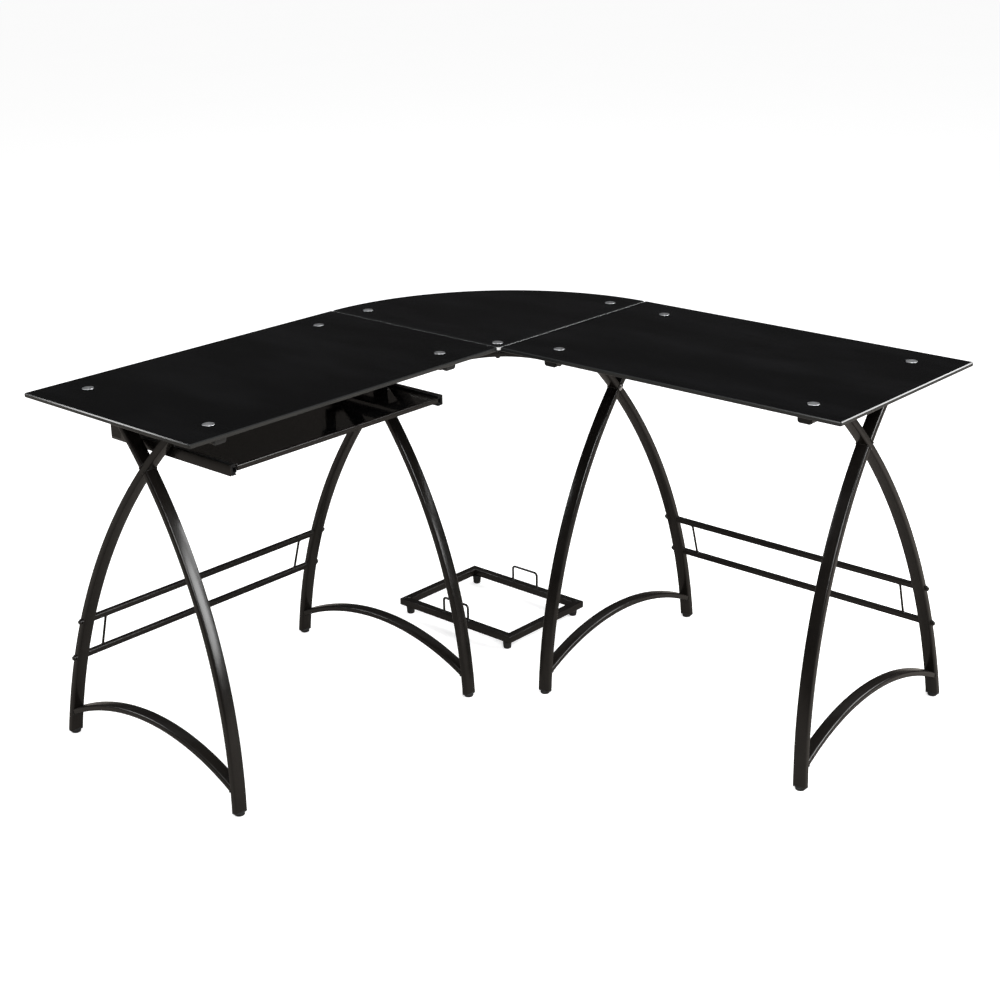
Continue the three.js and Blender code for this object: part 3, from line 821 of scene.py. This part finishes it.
def grown(name, tree, points, values, aims=None, smooth=30):
    """Runs a tree on loose points and returns its result as a plain mesh piece."""
    seed = bpy.data.meshes.new(name + "_points")
    seed.from_pydata([tuple(p) for p in points], [], [])
    if aims:
        layer = seed.attributes.new("aim", "FLOAT_VECTOR", "POINT")
        layer.data.foreach_set("vector", [value for aim in aims for value in aim])
    holder = bpy.data.objects.new(name + "_points", seed)
    bpy.context.collection.objects.link(holder)
    modifier = holder.modifiers.new(name, "NODES")
    modifier.node_group = tree
    sockets = {s.name: s.identifier for s in tree.interface.items_tree if s.in_out == "INPUT"}
    for label, value in values.items():
        modifier[sockets[label]] = value
    graph = bpy.context.evaluated_depsgraph_get()
    mesh = bpy.data.meshes.new_from_object(holder.evaluated_get(graph), depsgraph=graph)
    bpy.data.objects.remove(holder)
    bpy.data.meshes.remove(seed)
    if not mesh.polygons:
        raise ValueError(f"{name} came out empty")
    for attribute in [a for a in mesh.attributes if a.name == "aim"]:
        mesh.attributes.remove(attribute)
    mesh.name = name
    return shown(name, mesh, smooth)


# ---- operators ----
class DeskOperator:
    """Shared by every step of the making."""

    bl_options = {"REGISTER", "UNDO"}

    def execute(self, context):
        self.build(context.scene.desk_sizes)
        return {"FINISHED"}


def glass_outline(node):
    """Outer outline of a panel, from the solid."""
    low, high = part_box(node)
    corner = GLASS_CORNER
    if node == "glass_corner":
        radius, x, y = high.x - low.x, high.x, low.y
        reach = math.sqrt((radius - corner) ** 2 - corner ** 2)
        turn = math.asin(corner / (radius - corner))
        right = math.pi / 2
        arcs = [
            (x - corner, y + corner, corner, -right, 0, 6),
            (x - corner, y + reach, corner, 0, right + turn, 6),
            (x, y, radius, right + turn, math.pi - turn, 96),
            (x - reach, y + corner, corner, math.pi - turn, math.pi + right, 6),
        ]
        outline = []
        for cx, cy, r, start, stop, steps in arcs:
            for i in range(steps + 1):
                angle = fraction(start, stop, i / steps)
                outline.append(Vector((cx + r * math.cos(angle), cy + r * math.sin(angle))))
        return [p for i, p in enumerate(outline) if (p - outline[i - 1]).length > 1e-5]
    centre = (low + high) / 2
    flat = rounded(high.x - low.x, high.y - low.y, corner, 6)
    return [Vector((centre.x + u, centre.y + v)) for u, v in flat]


def inward(outline, distance):
    """The outline moved inwards by a distance (anticlockwise outlines)."""
    moved = []
    count = len(outline)
    for i, point in enumerate(outline):
        before = (point - outline[i - 1]).normalized()
        after = (outline[(i + 1) % count] - point).normalized()
        along = (before + after).normalized()
        stretch = 1 / max(0.5, along.dot(after))
        moved.append(point + Vector((-along.y, along.x)) * distance * stretch)
    return moved


def caps_on(node):
    """Centres of the discs that lie within a panel's box."""
    low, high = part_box(node)
    centres = []
    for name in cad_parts:
        if name.startswith("cap_"):
            a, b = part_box(name)
            middle = (a + b) / 2
            if low.x < middle.x < high.x and low.y < middle.y < high.y:
                centres.append(Vector((middle.x, middle.y)))
    return centres


class DESK_OT_glass(DeskOperator, Operator):
    """Makes the glass panels with polished rims and a hole for every disc"""

    bl_idname = "desk.glass"
    bl_label = "Glass panels"

    def build(self, sizes):
        finishes = [finish(black_glass), finish(glass_edge), finish(ground_edge)]
        seam = seam_corner()
        for node in ("glass_right", "glass_left", "glass_corner"):
            bottom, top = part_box(node)[0].z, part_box(node)[1].z
            outline = glass_outline(node)
            holes = [
                [centre + Vector(p) for p in round_outline(HOLE_RADIUS, 40)[::-1]]
                for centre in caps_on(node)
            ]
            bevel = sizes.glass_bevel
            shell = bmesh.new()
            faces = {bottom: [], top: []}
            for loop, ease in [(outline, bevel)] + [(hole, 0.0003) for hole in holes]:
                levels = [(ease / 2, bottom), (0, bottom + ease / 2), (0, top - ease), (ease, top)]
                made = [
                    [shell.verts.new((*p, z)) for p in inward(loop, distance)] for distance, z in levels
                ]
                count = len(loop)
                for level, (lower, upper) in enumerate(zip(made, made[1:])):
                    for i in range(count):
                        j = (i + 1) % count
                        side = shell.faces.new((lower[i], lower[j], upper[j], upper[i]))
                        middle = side.calc_center_median() - seam
                        at_seam = (
                            (abs(middle.x - 0.0015) < 0.0035 and middle.y > 0.001)
                            or (abs(middle.y + 0.0015) < 0.0035 and middle.x < -0.001)
                        )
                        # Faces at the seams take the pale painted highlight, standing in for light seen
                        # through the gap between panels.
                        side.material_index = 2 if at_seam and level == 1 and loop is outline else 1
                for ring, z in ((made[0], bottom), (made[-1], top)):
                    for i in range(count):
                        edge = shell.edges.get((ring[i], ring[(i + 1) % count]))
                        faces[z].append(edge)
            for z, edges in faces.items():
                filled = bmesh.ops.triangle_fill(shell, edges=edges, use_beauty=True)
                for face in filled["geom"]:
                    if isinstance(face, bmesh.types.BMFace):
                        face.material_index = 0
            bmesh.ops.recalc_face_normals(shell, faces=shell.faces)
            mesh = bpy.data.meshes.new(node + "_panel")
            shell.to_mesh(mesh)
            shell.free()
            for one in finishes:
                mesh.materials.append(one)
            place_on(shown(node + "_panel", mesh, 20), "desk", "black_glass", node)


class DESK_OT_discs(DeskOperator, Operator):
    """Makes the brushed discs in the glass and the rubber seats under it"""

    bl_idname = "desk.discs"
    bl_label = "Discs and seats"

    def build(self, sizes):
        finishes = [finish(brushed_disc), finish(black_plastic)]
        for name in [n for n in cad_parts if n.startswith("cap_")]:
            low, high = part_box(name)
            x, y = (low.x + high.x) / 2, (low.y + high.y) / 2
            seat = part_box("glass_corner")[0].z
            edge = sizes.disc_bevel
            radius = DISC_RADIUS
            shape = Shape()
            shape.turn([
                (radius, seat - high.z), (radius, -edge), (radius - edge * 0.3, -edge * 0.3),
                (radius - edge, 0), (radius * 0.82, 0.0001), (radius * 0.55, 0.00018),
                (radius * 0.28, 0.00022), (radius * 0.05, 0.00022),
            ], 40, (x, y, high.z), 0, True)
            wide = (high.x - low.x) / 2
            shape.turn([
                (wide - 0.001, 0), (wide, 0.001), (wide, seat - low.z - SEAT_STEP),
                (wide - 0.0012, seat - low.z - 0.0006), (wide - 0.004, seat - low.z - 0.0003),
            ], 40, (x, y, low.z), 1, True)
            place_on(shape.make("disc_" + name[4:], finishes), "desk", "brushed_metal", name)


class DESK_OT_frames(DeskOperator, Operator):
    """Makes the curved legs and arches of the four frames, and their weld beads"""

    bl_idname = "desk.frames"
    bl_label = "Leg frames"

    def build(self, sizes):
        coat = finish(powder_coat)
        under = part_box("rail_right_outer")[0].z - 0.0002
        beads = Shape()
        for wing in WINGS:
            for place in PLACES:
                matrix = frame_matrix(wing, place)
                for name, path, outline, start, end in frame_tubes(sizes, under):
                    corners, faces = swept(path, outline, (1, 0, 0), False, start, end)
                    node = f"frame_{wing}_{place}_{name}"
                    shape = Shape().add(corners, faces, 0, matrix)
                    made = shape.make(f"tube_{wing}_{place}_{name}", [coat])
                    place_on(made, "desk", "powder_coat", node)
                    for last in {
                        "front_leg_lower": (True,), "front_leg_upper": (False,), "arch": (False, True),
                    }.get(name, ()):
                        ring, ring_faces = bead_ring(corners, len(outline), last, sizes.bead)
                        beads.add(ring, ring_faces, 0, matrix)
        place_on(beads.make("weld_beads", [coat], 60), "desk", "powder_coat")


class DESK_OT_feet(DeskOperator, Operator):
    """Makes the plug and round glide in the end of every leg"""

    bl_idname = "desk.feet"
    bl_label = "Leg glides"

    def build(self, sizes):
        plastic = finish(black_plastic)
        for wing in WINGS:
            for place in PLACES:
                for end in ("front", "rear"):
                    node = f"frame_{wing}_{place}_foot_{end}"
                    low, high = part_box(node)
                    middle = (low + high) / 2
                    across = (high.x - low.x) > (high.y - low.y)
                    wide, deep = sizes.leg_width - 0.0002, sizes.leg_depth + 0.0002
                    size = (wide, deep) if across else (deep, wide)
                    shape = Shape()
                    outline = rounded(*size, sizes.leg_corner)
                    path = [(middle.x, middle.y, z) for z in (0.0058, 0.0066, high.z + 0.0002)]
                    shape.add(*swept(path, [(v, u) for u, v in outline], (0, 1, 0)), 0)
                    shape.turn([
                        (0.0075, 0), (0.0093, 0.0006), (0.01, 0.002), (0.01, 0.0052),
                        (0.0088, 0.0058), (0.0088, 0.0066),
                    ], 28, (middle.x, middle.y, low.z))
                    made = shape.make(f"glide_{wing}_{place}_{end}", [plastic])
                    place_on(made, "desk", "black_plastic", node)


class DESK_OT_rails(DeskOperator, Operator):
    """Makes the cross rails, the arms under the corner panel and the plugs in the rail ends"""

    bl_idname = "desk.rails"
    bl_label = "Cross rails"

    def build(self, sizes):
        finishes = [finish(powder_coat), finish(black_plastic)]
        for wing in WINGS:
            matrix = wing_matrix(wing)
            back = matrix.inverted()
            for place in PLACES:
                node = f"rail_{wing}_{place}"
                a, b = (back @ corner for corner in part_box(node))
                low = Vector(map(min, a, b))
                high = Vector(map(max, a, b))
                centre = high.x - RAIL_WIDTH / 2
                tall = high.z - low.z
                middle = (low.z + high.z) / 2
                shape = Shape()
                outline = rounded(RAIL_WIDTH, tall, RAIL_CORNER, 5)
                path = [(centre, y, middle) for y in (low.y + RAIL_PLUG, high.y - RAIL_PLUG)]
                shape.add(*swept(path, outline, (1, 0, 0)), 0, matrix)
                for end, sign in ((low.y, -1), (high.y, 1)):
                    for start, stop, grow, corner in (
                        (-RAIL_PLUG, 0.0008, 0.0006, RAIL_CORNER),
                        (0, 0.0022, -0.0038, RAIL_CORNER - 0.001),
                    ):
                        ends = [(centre, end + sign * along, middle) for along in (start, stop)]
                        outline = rounded(RAIL_WIDTH + grow, tall + grow, corner, 5)
                        shape.add(*swept(ends, outline, (1, 0, 0)), 1, matrix)
                if place == "inner":
                    arm = high.y - ARM_INSET
                    arm_low = Vector((low.x, arm - ARM_WIDTH / 2, high.z - ARM_HEIGHT))
                    arm_high = Vector((centre - 0.013, arm + ARM_WIDTH / 2, high.z))
                    shape.add(*eased_box(arm_low, arm_high, 0.0016), 0, matrix)
                place_on(shape.make(f"cross_{wing}_{place}", finishes), "desk", "powder_coat", node)


class DESK_OT_corner_bar(DeskOperator, Operator):
    """Makes the curved flat bar under the tip of the corner panel"""

    bl_idname = "desk.corner_bar"
    bl_label = "Corner bar"

    def build(self, sizes):
        low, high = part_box("corner_bar")
        wide, thick = BAR_WIDTH, high.z - low.z
        middle = (low.z + high.z) / 2
        radius = BAR_BEND
        near = Vector((low.x + wide / 2, high.y - wide / 2))
        centre = near + Vector((radius, -radius))
        path = [(near.x, low.y, middle)]
        steps = 48
        for i in range(steps + 1):
            angle = math.pi - i / steps * math.pi / 2
            turn = Vector((math.cos(angle), math.sin(angle))) * radius
            path.append((centre.x + turn.x, centre.y + turn.y, middle))
        path.append((high.x, near.y, middle))
        shape = Shape().add(*swept(path, rounded(thick, wide, 0.0022, 4), (0, 0, 1)), 0)
        made = shape.make("curved_bar", [finish(powder_coat)])
        place_on(made, "desk", "powder_coat", "corner_bar")


class DESK_OT_stretchers(DeskOperator, Operator):
    """Makes the two ladders between the back legs"""

    bl_idname = "desk.stretchers"
    bl_label = "Ladders"

    def build(self, sizes):
        coat = finish(powder_coat)
        half = LADDER_BAR / 2
        for wing in WINGS:
            node = f"stretcher_{wing}"
            matrix = wing_matrix(wing)
            low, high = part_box(node)
            shape = Shape()
            at = {}
            for height in (low.z + half, high.z - half):
                y = leg_point(sizes, 1, height).y
                start = sizes.inner_foot - sizes.inner_lean * height + sizes.leg_width / 2 - SUNK
                stop = sizes.outer_foot - sizes.outer_lean * height - sizes.leg_width / 2 + SUNK
                path = [(start, y, height), (stop, y, height)]
                shape.add(*swept(path, rounded(2 * half, 2 * half, 0.0022, 4), (0, 1, 0)), 0, matrix)
                at[height] = y
            for x in LADDER_WIRES_AT:
                path = [(x, y, height) for height, y in at.items()]
                shape.add(*swept(path, round_outline(LADDER_WIRE, 14), (1, 0, 0)), 0, matrix)
                for height, y in at.items():
                    sign = 1 if height == min(at) else -1
                    profile = [(0.0042, 0), (0.0036, 0.0012), (LADDER_WIRE, 0.0022)]
                    corners, faces, _ = turned(profile, 12)
                    corners = [(cx, cy, sign * (cz + half - SUNK)) for cx, cy, cz in corners]
                    shape.add(corners, faces, 0, matrix @ Matrix.Translation((x, y, height)))
            place_on(shape.make(f"ladder_{wing}", [coat], 50), "desk", "powder_coat", node)


def square(low, high, z, inset=0):
    """The four corners of a level rectangle, anticlockwise."""
    left, right, front, back = low.x + inset, high.x - inset, low.y + inset, high.y - inset
    return [(left, front, z), (right, front, z), (right, back, z), (left, back, z)]


def tray_ring(low, high, profile):
    """Closed sweep of a section round a rectangle; the section's x runs outwards from the path."""
    return swept(square(low, high, low.z), [(z, -x) for x, z in profile], (0, 0, 1), True)


class DESK_OT_tray(DeskOperator, Operator):
    """Makes the tray frame and the black glass laid into it"""

    bl_idname = "desk.tray"
    bl_label = "Keyboard tray"

    def build(self, sizes):
        low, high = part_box("tray_frame")
        pane_low, pane_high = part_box("tray_glass")
        rim, ledge = TRAY_RIM, TRAY_LEDGE
        shelf = pane_low.z - low.z - 0.0003
        tall = high.z - low.z
        profile = [
            (-ledge, 0), (-0.0018, 0), (-0.0006, 0.0005), (0, 0.0018), (0, tall - 0.0016),
            (-0.0005, tall - 0.0005), (-0.0016, tall), (-rim + 0.0008, tall), (-rim, tall - 0.0008),
            (-rim, shelf), (-ledge, shelf),
        ]
        corners, faces = tray_ring(low, high, profile)
        made = Shape().add(corners, faces).make("tray_surround", [finish(powder_coat)], 30)
        place_on(made, "tray", "powder_coat", "tray_frame")
        finishes = [finish(black_glass), finish(ground_edge)]
        inset = Vector((0.0002, 0.0002, 0))
        a, b = pane_low - inset, pane_high + inset
        soft = PANE_CHAMFER / 3
        levels = ((0, a.z), (0, b.z - PANE_CHAMFER), (soft, b.z - soft), (PANE_CHAMFER, b.z))
        rings = [square(a, b, z, inset) for inset, z in levels]
        shape = Shape()
        for ring, following in zip(rings, rings[1:]):
            # The pane's edges take the pale painted highlight, standing in for the light line along the
            # tray's rim.
            shape.add(ring + following, band(0, 4, 4), 1)
        shape.add(rings[0], [[3, 2, 1, 0]], 0)
        shape.add(rings[-1], [[0, 1, 2, 3]], 0)
        place_on(shape.make("tray_pane", finishes, 20), "tray", "black_glass", "tray_glass")


def sheet_section(points, thickness, bend):
    """Outline of folded sheet metal whose middle runs through points, with rounded folds."""
    middle = [Vector(points[0])]
    for before, point, after in zip(points, points[1:], points[2:]):
        before, point, after = Vector(before), Vector(point), Vector(after)
        a = point + (before - point).normalized() * bend
        b = point + (after - point).normalized() * bend
        for i in range(5):
            t = i / 4
            middle.append((1 - t) ** 2 * a + 2 * t * (1 - t) * point + t * t * b)
    middle.append(Vector(points[-1]))
    left, right = [], []
    for i, point in enumerate(middle):
        before = middle[max(0, i - 1)]
        after = middle[min(len(middle) - 1, i + 1)]
        along = (after - before).normalized()
        normal = Vector((-along.y, along.x)) * thickness / 2
        left.append(tuple(point + normal))
        right.append(tuple(point - normal))
    return left + right[::-1]


class DESK_OT_slides(DeskOperator, Operator):
    """Makes the three members of each ball slide"""

    bl_idname = "desk.slides"
    bl_label = "Ball slides"

    def build(self, sizes):
        zinc = finish(slide_zinc)
        for place in PLACES:
            for member, sheet, body in (
                ("fixed", 0.0015, "desk"),
                ("retainer", 0.001, "slide_retainers"),
                ("moving", 0.0015, "tray"),
            ):
                node = f"slide_{place}_{member}"
                low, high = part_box(node)
                tray_side = 1 if place == "outer" else -1
                opens = tray_side if member != "moving" else -tray_side
                half, wide = (high.z - low.z) / 2, high.y - low.y
                web = low.y if opens > 0 else high.y
                s = sheet / 2
                lips = [
                    (web + opens * wide, -half + s), (web + opens * s, -half + s),
                    (web + opens * s, half - s), (web + opens * wide, half - s),
                ]
                section = sheet_section([(z, y) for y, z in lips], sheet, sheet * 1.3)
                middle = (low.z + high.z) / 2
                path = [(low.x, 0, middle), (high.x, 0, middle)]
                corners, faces = swept(path, section, (0, 0, 1))
                worst = max(abs(c.y - web) for c in corners)
                if worst > wide + 0.002:
                    corners = [Vector((c.x, -c.y, c.z)) for c in corners]
                made = Shape().add(corners, faces).make(f"{member}_member_{place}", [zinc])
                slot = "retainer_steel" if member == "retainer" else "slide_steel"
                place_on(made, body, slot, node)


class DESK_OT_balls(DeskOperator, Operator):
    """Grows the rows of balls between the slide members"""

    bl_idname = "desk.balls"
    bl_label = "Bearing balls"

    def build(self, sizes):
        bright = finish(bright_zinc)
        points = []
        for place in PLACES:
            low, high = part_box(f"slide_{place}_retainer")
            middle = (low.y + high.y) / 2
            for z in (low.z - 0.0006, high.z + 0.0006):
                for group in range(3):
                    for i in range(9):
                        x = fraction(low.x, high.x, 0.12 + group * 0.36) + (i - 4) * BALL_SPACING
                        points.append((x, middle, z))
        made = grown("slide_balls", ball_tree(), points, {"Radius": BALL_RADIUS, "Material": bright})
        place_on(made, "slide_retainers", "retainer_steel")


class DESK_OT_brackets(DeskOperator, Operator):
    """Makes the folded sheet brackets that carry the slides"""

    bl_idname = "desk.brackets"
    bl_label = "Tray brackets"

    def build(self, sizes):
        coat = finish(powder_coat)
        front = seam_corner().x
        for place in PLACES:
            node = f"tray_bracket_{place}"
            low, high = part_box(node)
            sheet = BRACKET_SHEET
            strip_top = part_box(f"slide_{place}_fixed")[1].z
            outer = place == "outer"
            web = high.y - sheet / 2 if outer else low.y + sheet / 2
            edge = low.y if outer else high.y
            shape = Shape()
            shape.add(*eased_box(
                (low.x, web - sheet / 2, low.z), (high.x, web + sheet / 2, strip_top), 0.0007,
            ))
            for near, far in BRACKET_TABS:
                top = high.z - sheet / 2
                line = [(low.z + 0.005, web), (top, web), (top, edge)]
                section = sheet_section(line, sheet, BRACKET_BEND)
                path = [(front - far, 0, 0), (front - near, 0, 0)]
                corners, faces = swept(path, section, (0, 0, 1))
                if abs(corners[0].y - web) > 0.01:
                    corners = [Vector((c.x, -c.y, c.z)) for c in corners]
                shape.add(corners, faces)
            place_on(shape.make(f"slide_bracket_{place}", [coat]), "desk", "powder_coat", node)


class DESK_OT_case_stand(DeskOperator, Operator):
    """Makes the floor stand: mitred tubes, wire hoops and tapered feet"""

    bl_idname = "desk.case_stand"
    bl_label = "Case stand"

    def build(self, sizes):
        coat, plastic = finish(powder_coat), finish(black_plastic)
        low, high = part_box("stand_frame")
        tube, tall = STAND_TUBE
        top = low.z + tall
        shape = Shape()
        middle = top - tall / 2
        a = Vector((low.x + tube / 2, low.y + tube / 2, middle))
        b = Vector((high.x - tube / 2, high.y - tube / 2, middle))
        path = square(a, b, middle)
        shape.add(*swept(path, rounded(tall, tube, STAND_CORNER), (0, 0, 1), True))
        for x, y, _ in path:
            out = Vector((math.copysign(1, x - (a.x + b.x) / 2), math.copysign(1, y - (a.y + b.y) / 2)))
            centre = Vector((x, y, top - WELD_SUNK))
            reach = Vector((out.x, out.y, 0)) * (tube / 2 - 0.0016)
            seam = [centre - reach + reach * (2 * i / WELD_STEPS) for i in range(WELD_STEPS + 1)]
            shape.add(*swept(seam, round_outline(0.0009, 8), (0, 0, 1)), 0)
            edge = Vector((x, y)) + out * (tube / 2 - WELD_SUNK)
            seam = [(*edge, z) for z in (middle - tall / 2 + 0.002, top - 0.002)]
            shape.add(*swept(seam, round_outline(0.0008, 8), (1, 0, 0)), 0)
        half, hoop, bend = HOOP_HALF, high.z - top - 0.002, HOOP_BEND
        for y in (a.y, b.y):
            centre = (low.x + high.x) / 2
            points = [(centre - half, y, top - 0.002)]
            for x, start in ((centre - half + bend, math.pi), (centre + half - bend, math.pi / 2)):
                for i in range(9):
                    angle = start - i / 8 * math.pi / 2
                    height = top + hoop - bend + bend * math.sin(angle)
                    points.append((x + bend * math.cos(angle), y, height))
            points.append((centre + half, y, top - 0.002))
            shape.add(*swept(points, round_outline(HOOP_WIRE, 14), (0, 1, 0)))
            for x in (centre - half, centre + half):
                collar = [(0.0042, 0), (0.0037, 0.001), (HOOP_WIRE, 0.0019)]
                shape.turn(collar, 14, (x, y, top - 0.0002))
        place_on(shape.make("stand_rails", [coat], 50), "computer_stand", "powder_coat", "stand_frame")
        for node in [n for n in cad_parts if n.startswith("stand_foot_")]:
            low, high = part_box(node)
            x, y, tall = (low.x + high.x) / 2, (low.y + high.y) / 2, high.z - low.z
            foot = Shape().turn([
                (0.007, 0), (0.0083, 0.0008), (0.0088, 0.002), (0.0092, 0.006), (0.0098, 0.012),
                (0.01, tall - 0.004), (0.01, tall - 0.001), (0.0092, tall),
            ], 28, (x, y, low.z))
            made = foot.make("nub_" + node[11:], [plastic])
            place_on(made, "computer_stand", "black_plastic", node)


class DESK_OT_bolts(DeskOperator, Operator):
    """Grows the bolts of the frames, rails, corner bar and brackets"""

    bl_idname = "desk.bolts"
    bl_label = "Bolts and nuts"

    def build(self, sizes):
        black, bright = finish(powder_coat), finish(bright_zinc)
        tree = fastener_tree()
        heads, nuts, screws = [], [], []
        low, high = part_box("stretcher_right")
        cross = crossing_height(sizes)
        face = sizes.leg_width / 2
        for wing in WINGS:
            for place in PLACES:
                matrix = frame_matrix(wing, place)
                turn = wing_matrix(wing).to_3x3()
                outward = 1 if place == "outer" else -1
                for height in (low.z + LADDER_BAR / 2, high.z - LADDER_BAR / 2):
                    point = leg_point(sizes, 1, height) + Vector((outward * face, 0, 0))
                    heads.append((matrix @ point, turn @ Vector((outward, 0, 0))))
                point = leg_point(sizes, 1, cross) + Vector((-outward * face, 0, 0))
                screws.append((matrix @ point, turn @ Vector((-outward, 0, 0))))
        for name in [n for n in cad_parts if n.startswith("cap_")]:
            a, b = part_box(name)
            deep = 0.0152 if "corner" not in name else 0.0122
            nuts.append((Vector(((a.x + b.x) / 2, (a.y + b.y) / 2, a.z - deep)), -UP))
        for place in PLACES:
            a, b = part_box(f"tray_bracket_{place}")
            y = a.y + 0.007 if place == "outer" else b.y - 0.016
            for x in BRACKET_NUTS_AT:
                nuts.append((Vector((seam_corner().x - x, y, b.z - 0.0024)), -UP))
        for name, found, radius, height, sides, head in (
            ("frame_bolts", heads, sizes.bolt_radius, 0.0062, 18, black),
            ("crossing_screws", screws, 0.0046, 0.0034, 24, bright),
            ("rail_nuts", nuts, 0.005, 0.0046, 6, black),
        ):
            made = grown(name, tree, [p for p, _ in found], {
                "Radius": radius, "Height": height, "Sides": sides, "Washer": head, "Head": head,
            }, [aim for _, aim in found])
            place_on(made, "desk", "powder_coat" if head is black else "retainer_steel")


class DESK_OT_stage(DeskOperator, Operator):
    """Sets the floor, the lights and the camera"""

    bl_idname = "desk.stage"
    bl_label = "Stage"

    def build(self, sizes):
        scene = bpy.context.scene
        half = Vector((FLOOR_HALF, FLOOR_HALF))
        floor = Shape().add(square(-half, half, 0), [[0, 1, 2, 3]])
        floor.make("floor", [finish(floor_paint)])
        self.light_room(scene)
        for name, place, power, wide, tall in LIGHTS:
            light = bpy.data.lights.new(name, "AREA")
            light.shape = "RECTANGLE"
            light.energy, light.size, light.size_y = power, wide, tall
            lamp = bpy.data.objects.new(name, light)
            lamp.location = place
            lamp.rotation_euler = (LIGHTS_AIM - Vector(place)).to_track_quat("-Z", "Y").to_euler()
            lamp.visible_camera = False
            bpy.context.collection.objects.link(lamp)
        self.aim_camera(scene)

    def light_room(self, scene):
        """White to the camera, even to matt surfaces, dark low down to polished ones."""
        world = bpy.data.worlds.new("studio")
        scene.world = world
        world.use_nodes = True
        world.cycles.sampling_method = "NONE"
        nodes, links = world.node_tree.nodes, world.node_tree.links
        nodes.clear()
        place = nodes.new("ShaderNodeTexCoord")
        split = nodes.new("ShaderNodeSeparateXYZ")
        ramp = nodes.new("ShaderNodeValToRGB")
        Recipe.set_stops(ramp.color_ramp.elements, [(0.0, 0.03), (0.5, 0.03), (0.8, 0.3), (1.0, 0.5)])
        seen = nodes.new("ShaderNodeLightPath")
        out = nodes.new("ShaderNodeOutputWorld")
        links.new(place.outputs["Generated"], split.inputs[0])
        links.new(split.outputs["Z"], ramp.inputs[0])
        last = None
        for ray, grey in ((None, 0.6), ("Is Glossy Ray", ramp), ("Is Camera Ray", 1.0)):
            back = nodes.new("ShaderNodeBackground")
            if grey is ramp:
                links.new(ramp.outputs["Color"], back.inputs["Color"])
            else:
                back.inputs["Color"].default_value = (grey, grey, grey, 1)
            if ray:
                pick = nodes.new("ShaderNodeMixShader")
                links.new(seen.outputs[ray], pick.inputs[0])
                links.new(last, pick.inputs[1])
                links.new(back.outputs[0], pick.inputs[2])
                last = pick.outputs[0]
            else:
                last = back.outputs[0]
        links.new(last, out.inputs["Surface"])

    def aim_camera(self, scene):
        camera = bpy.data.objects.new("camera", bpy.data.cameras.new("camera"))
        camera.data.sensor_width = 36
        camera.data.lens = 62.73
        camera.data.shift_y = -0.02
        yaw, pitch, roll = (math.radians(degrees) for degrees in CAMERA_TURN)
        level = Vector((-math.sin(yaw), math.cos(yaw), 0))
        ahead = level * math.cos(pitch) - UP * math.sin(pitch)
        right = Vector((math.cos(yaw), math.sin(yaw), 0))
        over = right.cross(ahead)
        side = right * math.cos(roll) + over * math.sin(roll)
        top = over * math.cos(roll) - right * math.sin(roll)
        turn = Matrix((side, top, -ahead)).transposed().to_4x4()
        camera.matrix_world = Matrix.Translation(seam_corner() + CAMERA_AT) @ turn
        bpy.context.collection.objects.link(camera)
        scene.camera = camera
        scene.view_settings.view_transform = "Standard"


class DESK_PT_panel(Panel):
    """Lists the steps of making the desk, with its sizes and finishes"""

    bl_idname = "DESK_PT_panel"
    bl_label = "Corner desk"
    bl_space_type = "VIEW_3D"
    bl_region_type = "UI"
    bl_category = "Desk"

    def draw(self, context):
        column = self.layout.column()
        for operator in OPERATORS:
            column.operator(operator.bl_idname)
        for group in (context.scene.desk_sizes, context.scene.desk_finishes):
            box = self.layout.box()
            for name in group.__annotations__:
                box.prop(group, name)


OPERATORS = (
    DESK_OT_stage, DESK_OT_glass, DESK_OT_discs, DESK_OT_frames, DESK_OT_feet, DESK_OT_rails,
    DESK_OT_corner_bar, DESK_OT_stretchers, DESK_OT_tray, DESK_OT_slides, DESK_OT_balls,
    DESK_OT_brackets, DESK_OT_case_stand, DESK_OT_bolts,
)
CLASSES = (DeskSizes, DeskFinishes, *OPERATORS, DESK_PT_panel)


def register():
    for one in CLASSES:
        bpy.utils.register_class(one)
    bpy.types.Scene.desk_sizes = PointerProperty(type=DeskSizes)
    bpy.types.Scene.desk_finishes = PointerProperty(type=DeskFinishes)


def unregister():
    del bpy.types.Scene.desk_finishes
    del bpy.types.Scene.desk_sizes
    for one in reversed(CLASSES):
        bpy.utils.unregister_class(one)


def main():
    register()
    for operator in OPERATORS:
        group, name = operator.bl_idname.split(".")
        getattr(getattr(bpy.ops, group), name)()


if __name__ == "__main__":
    main()
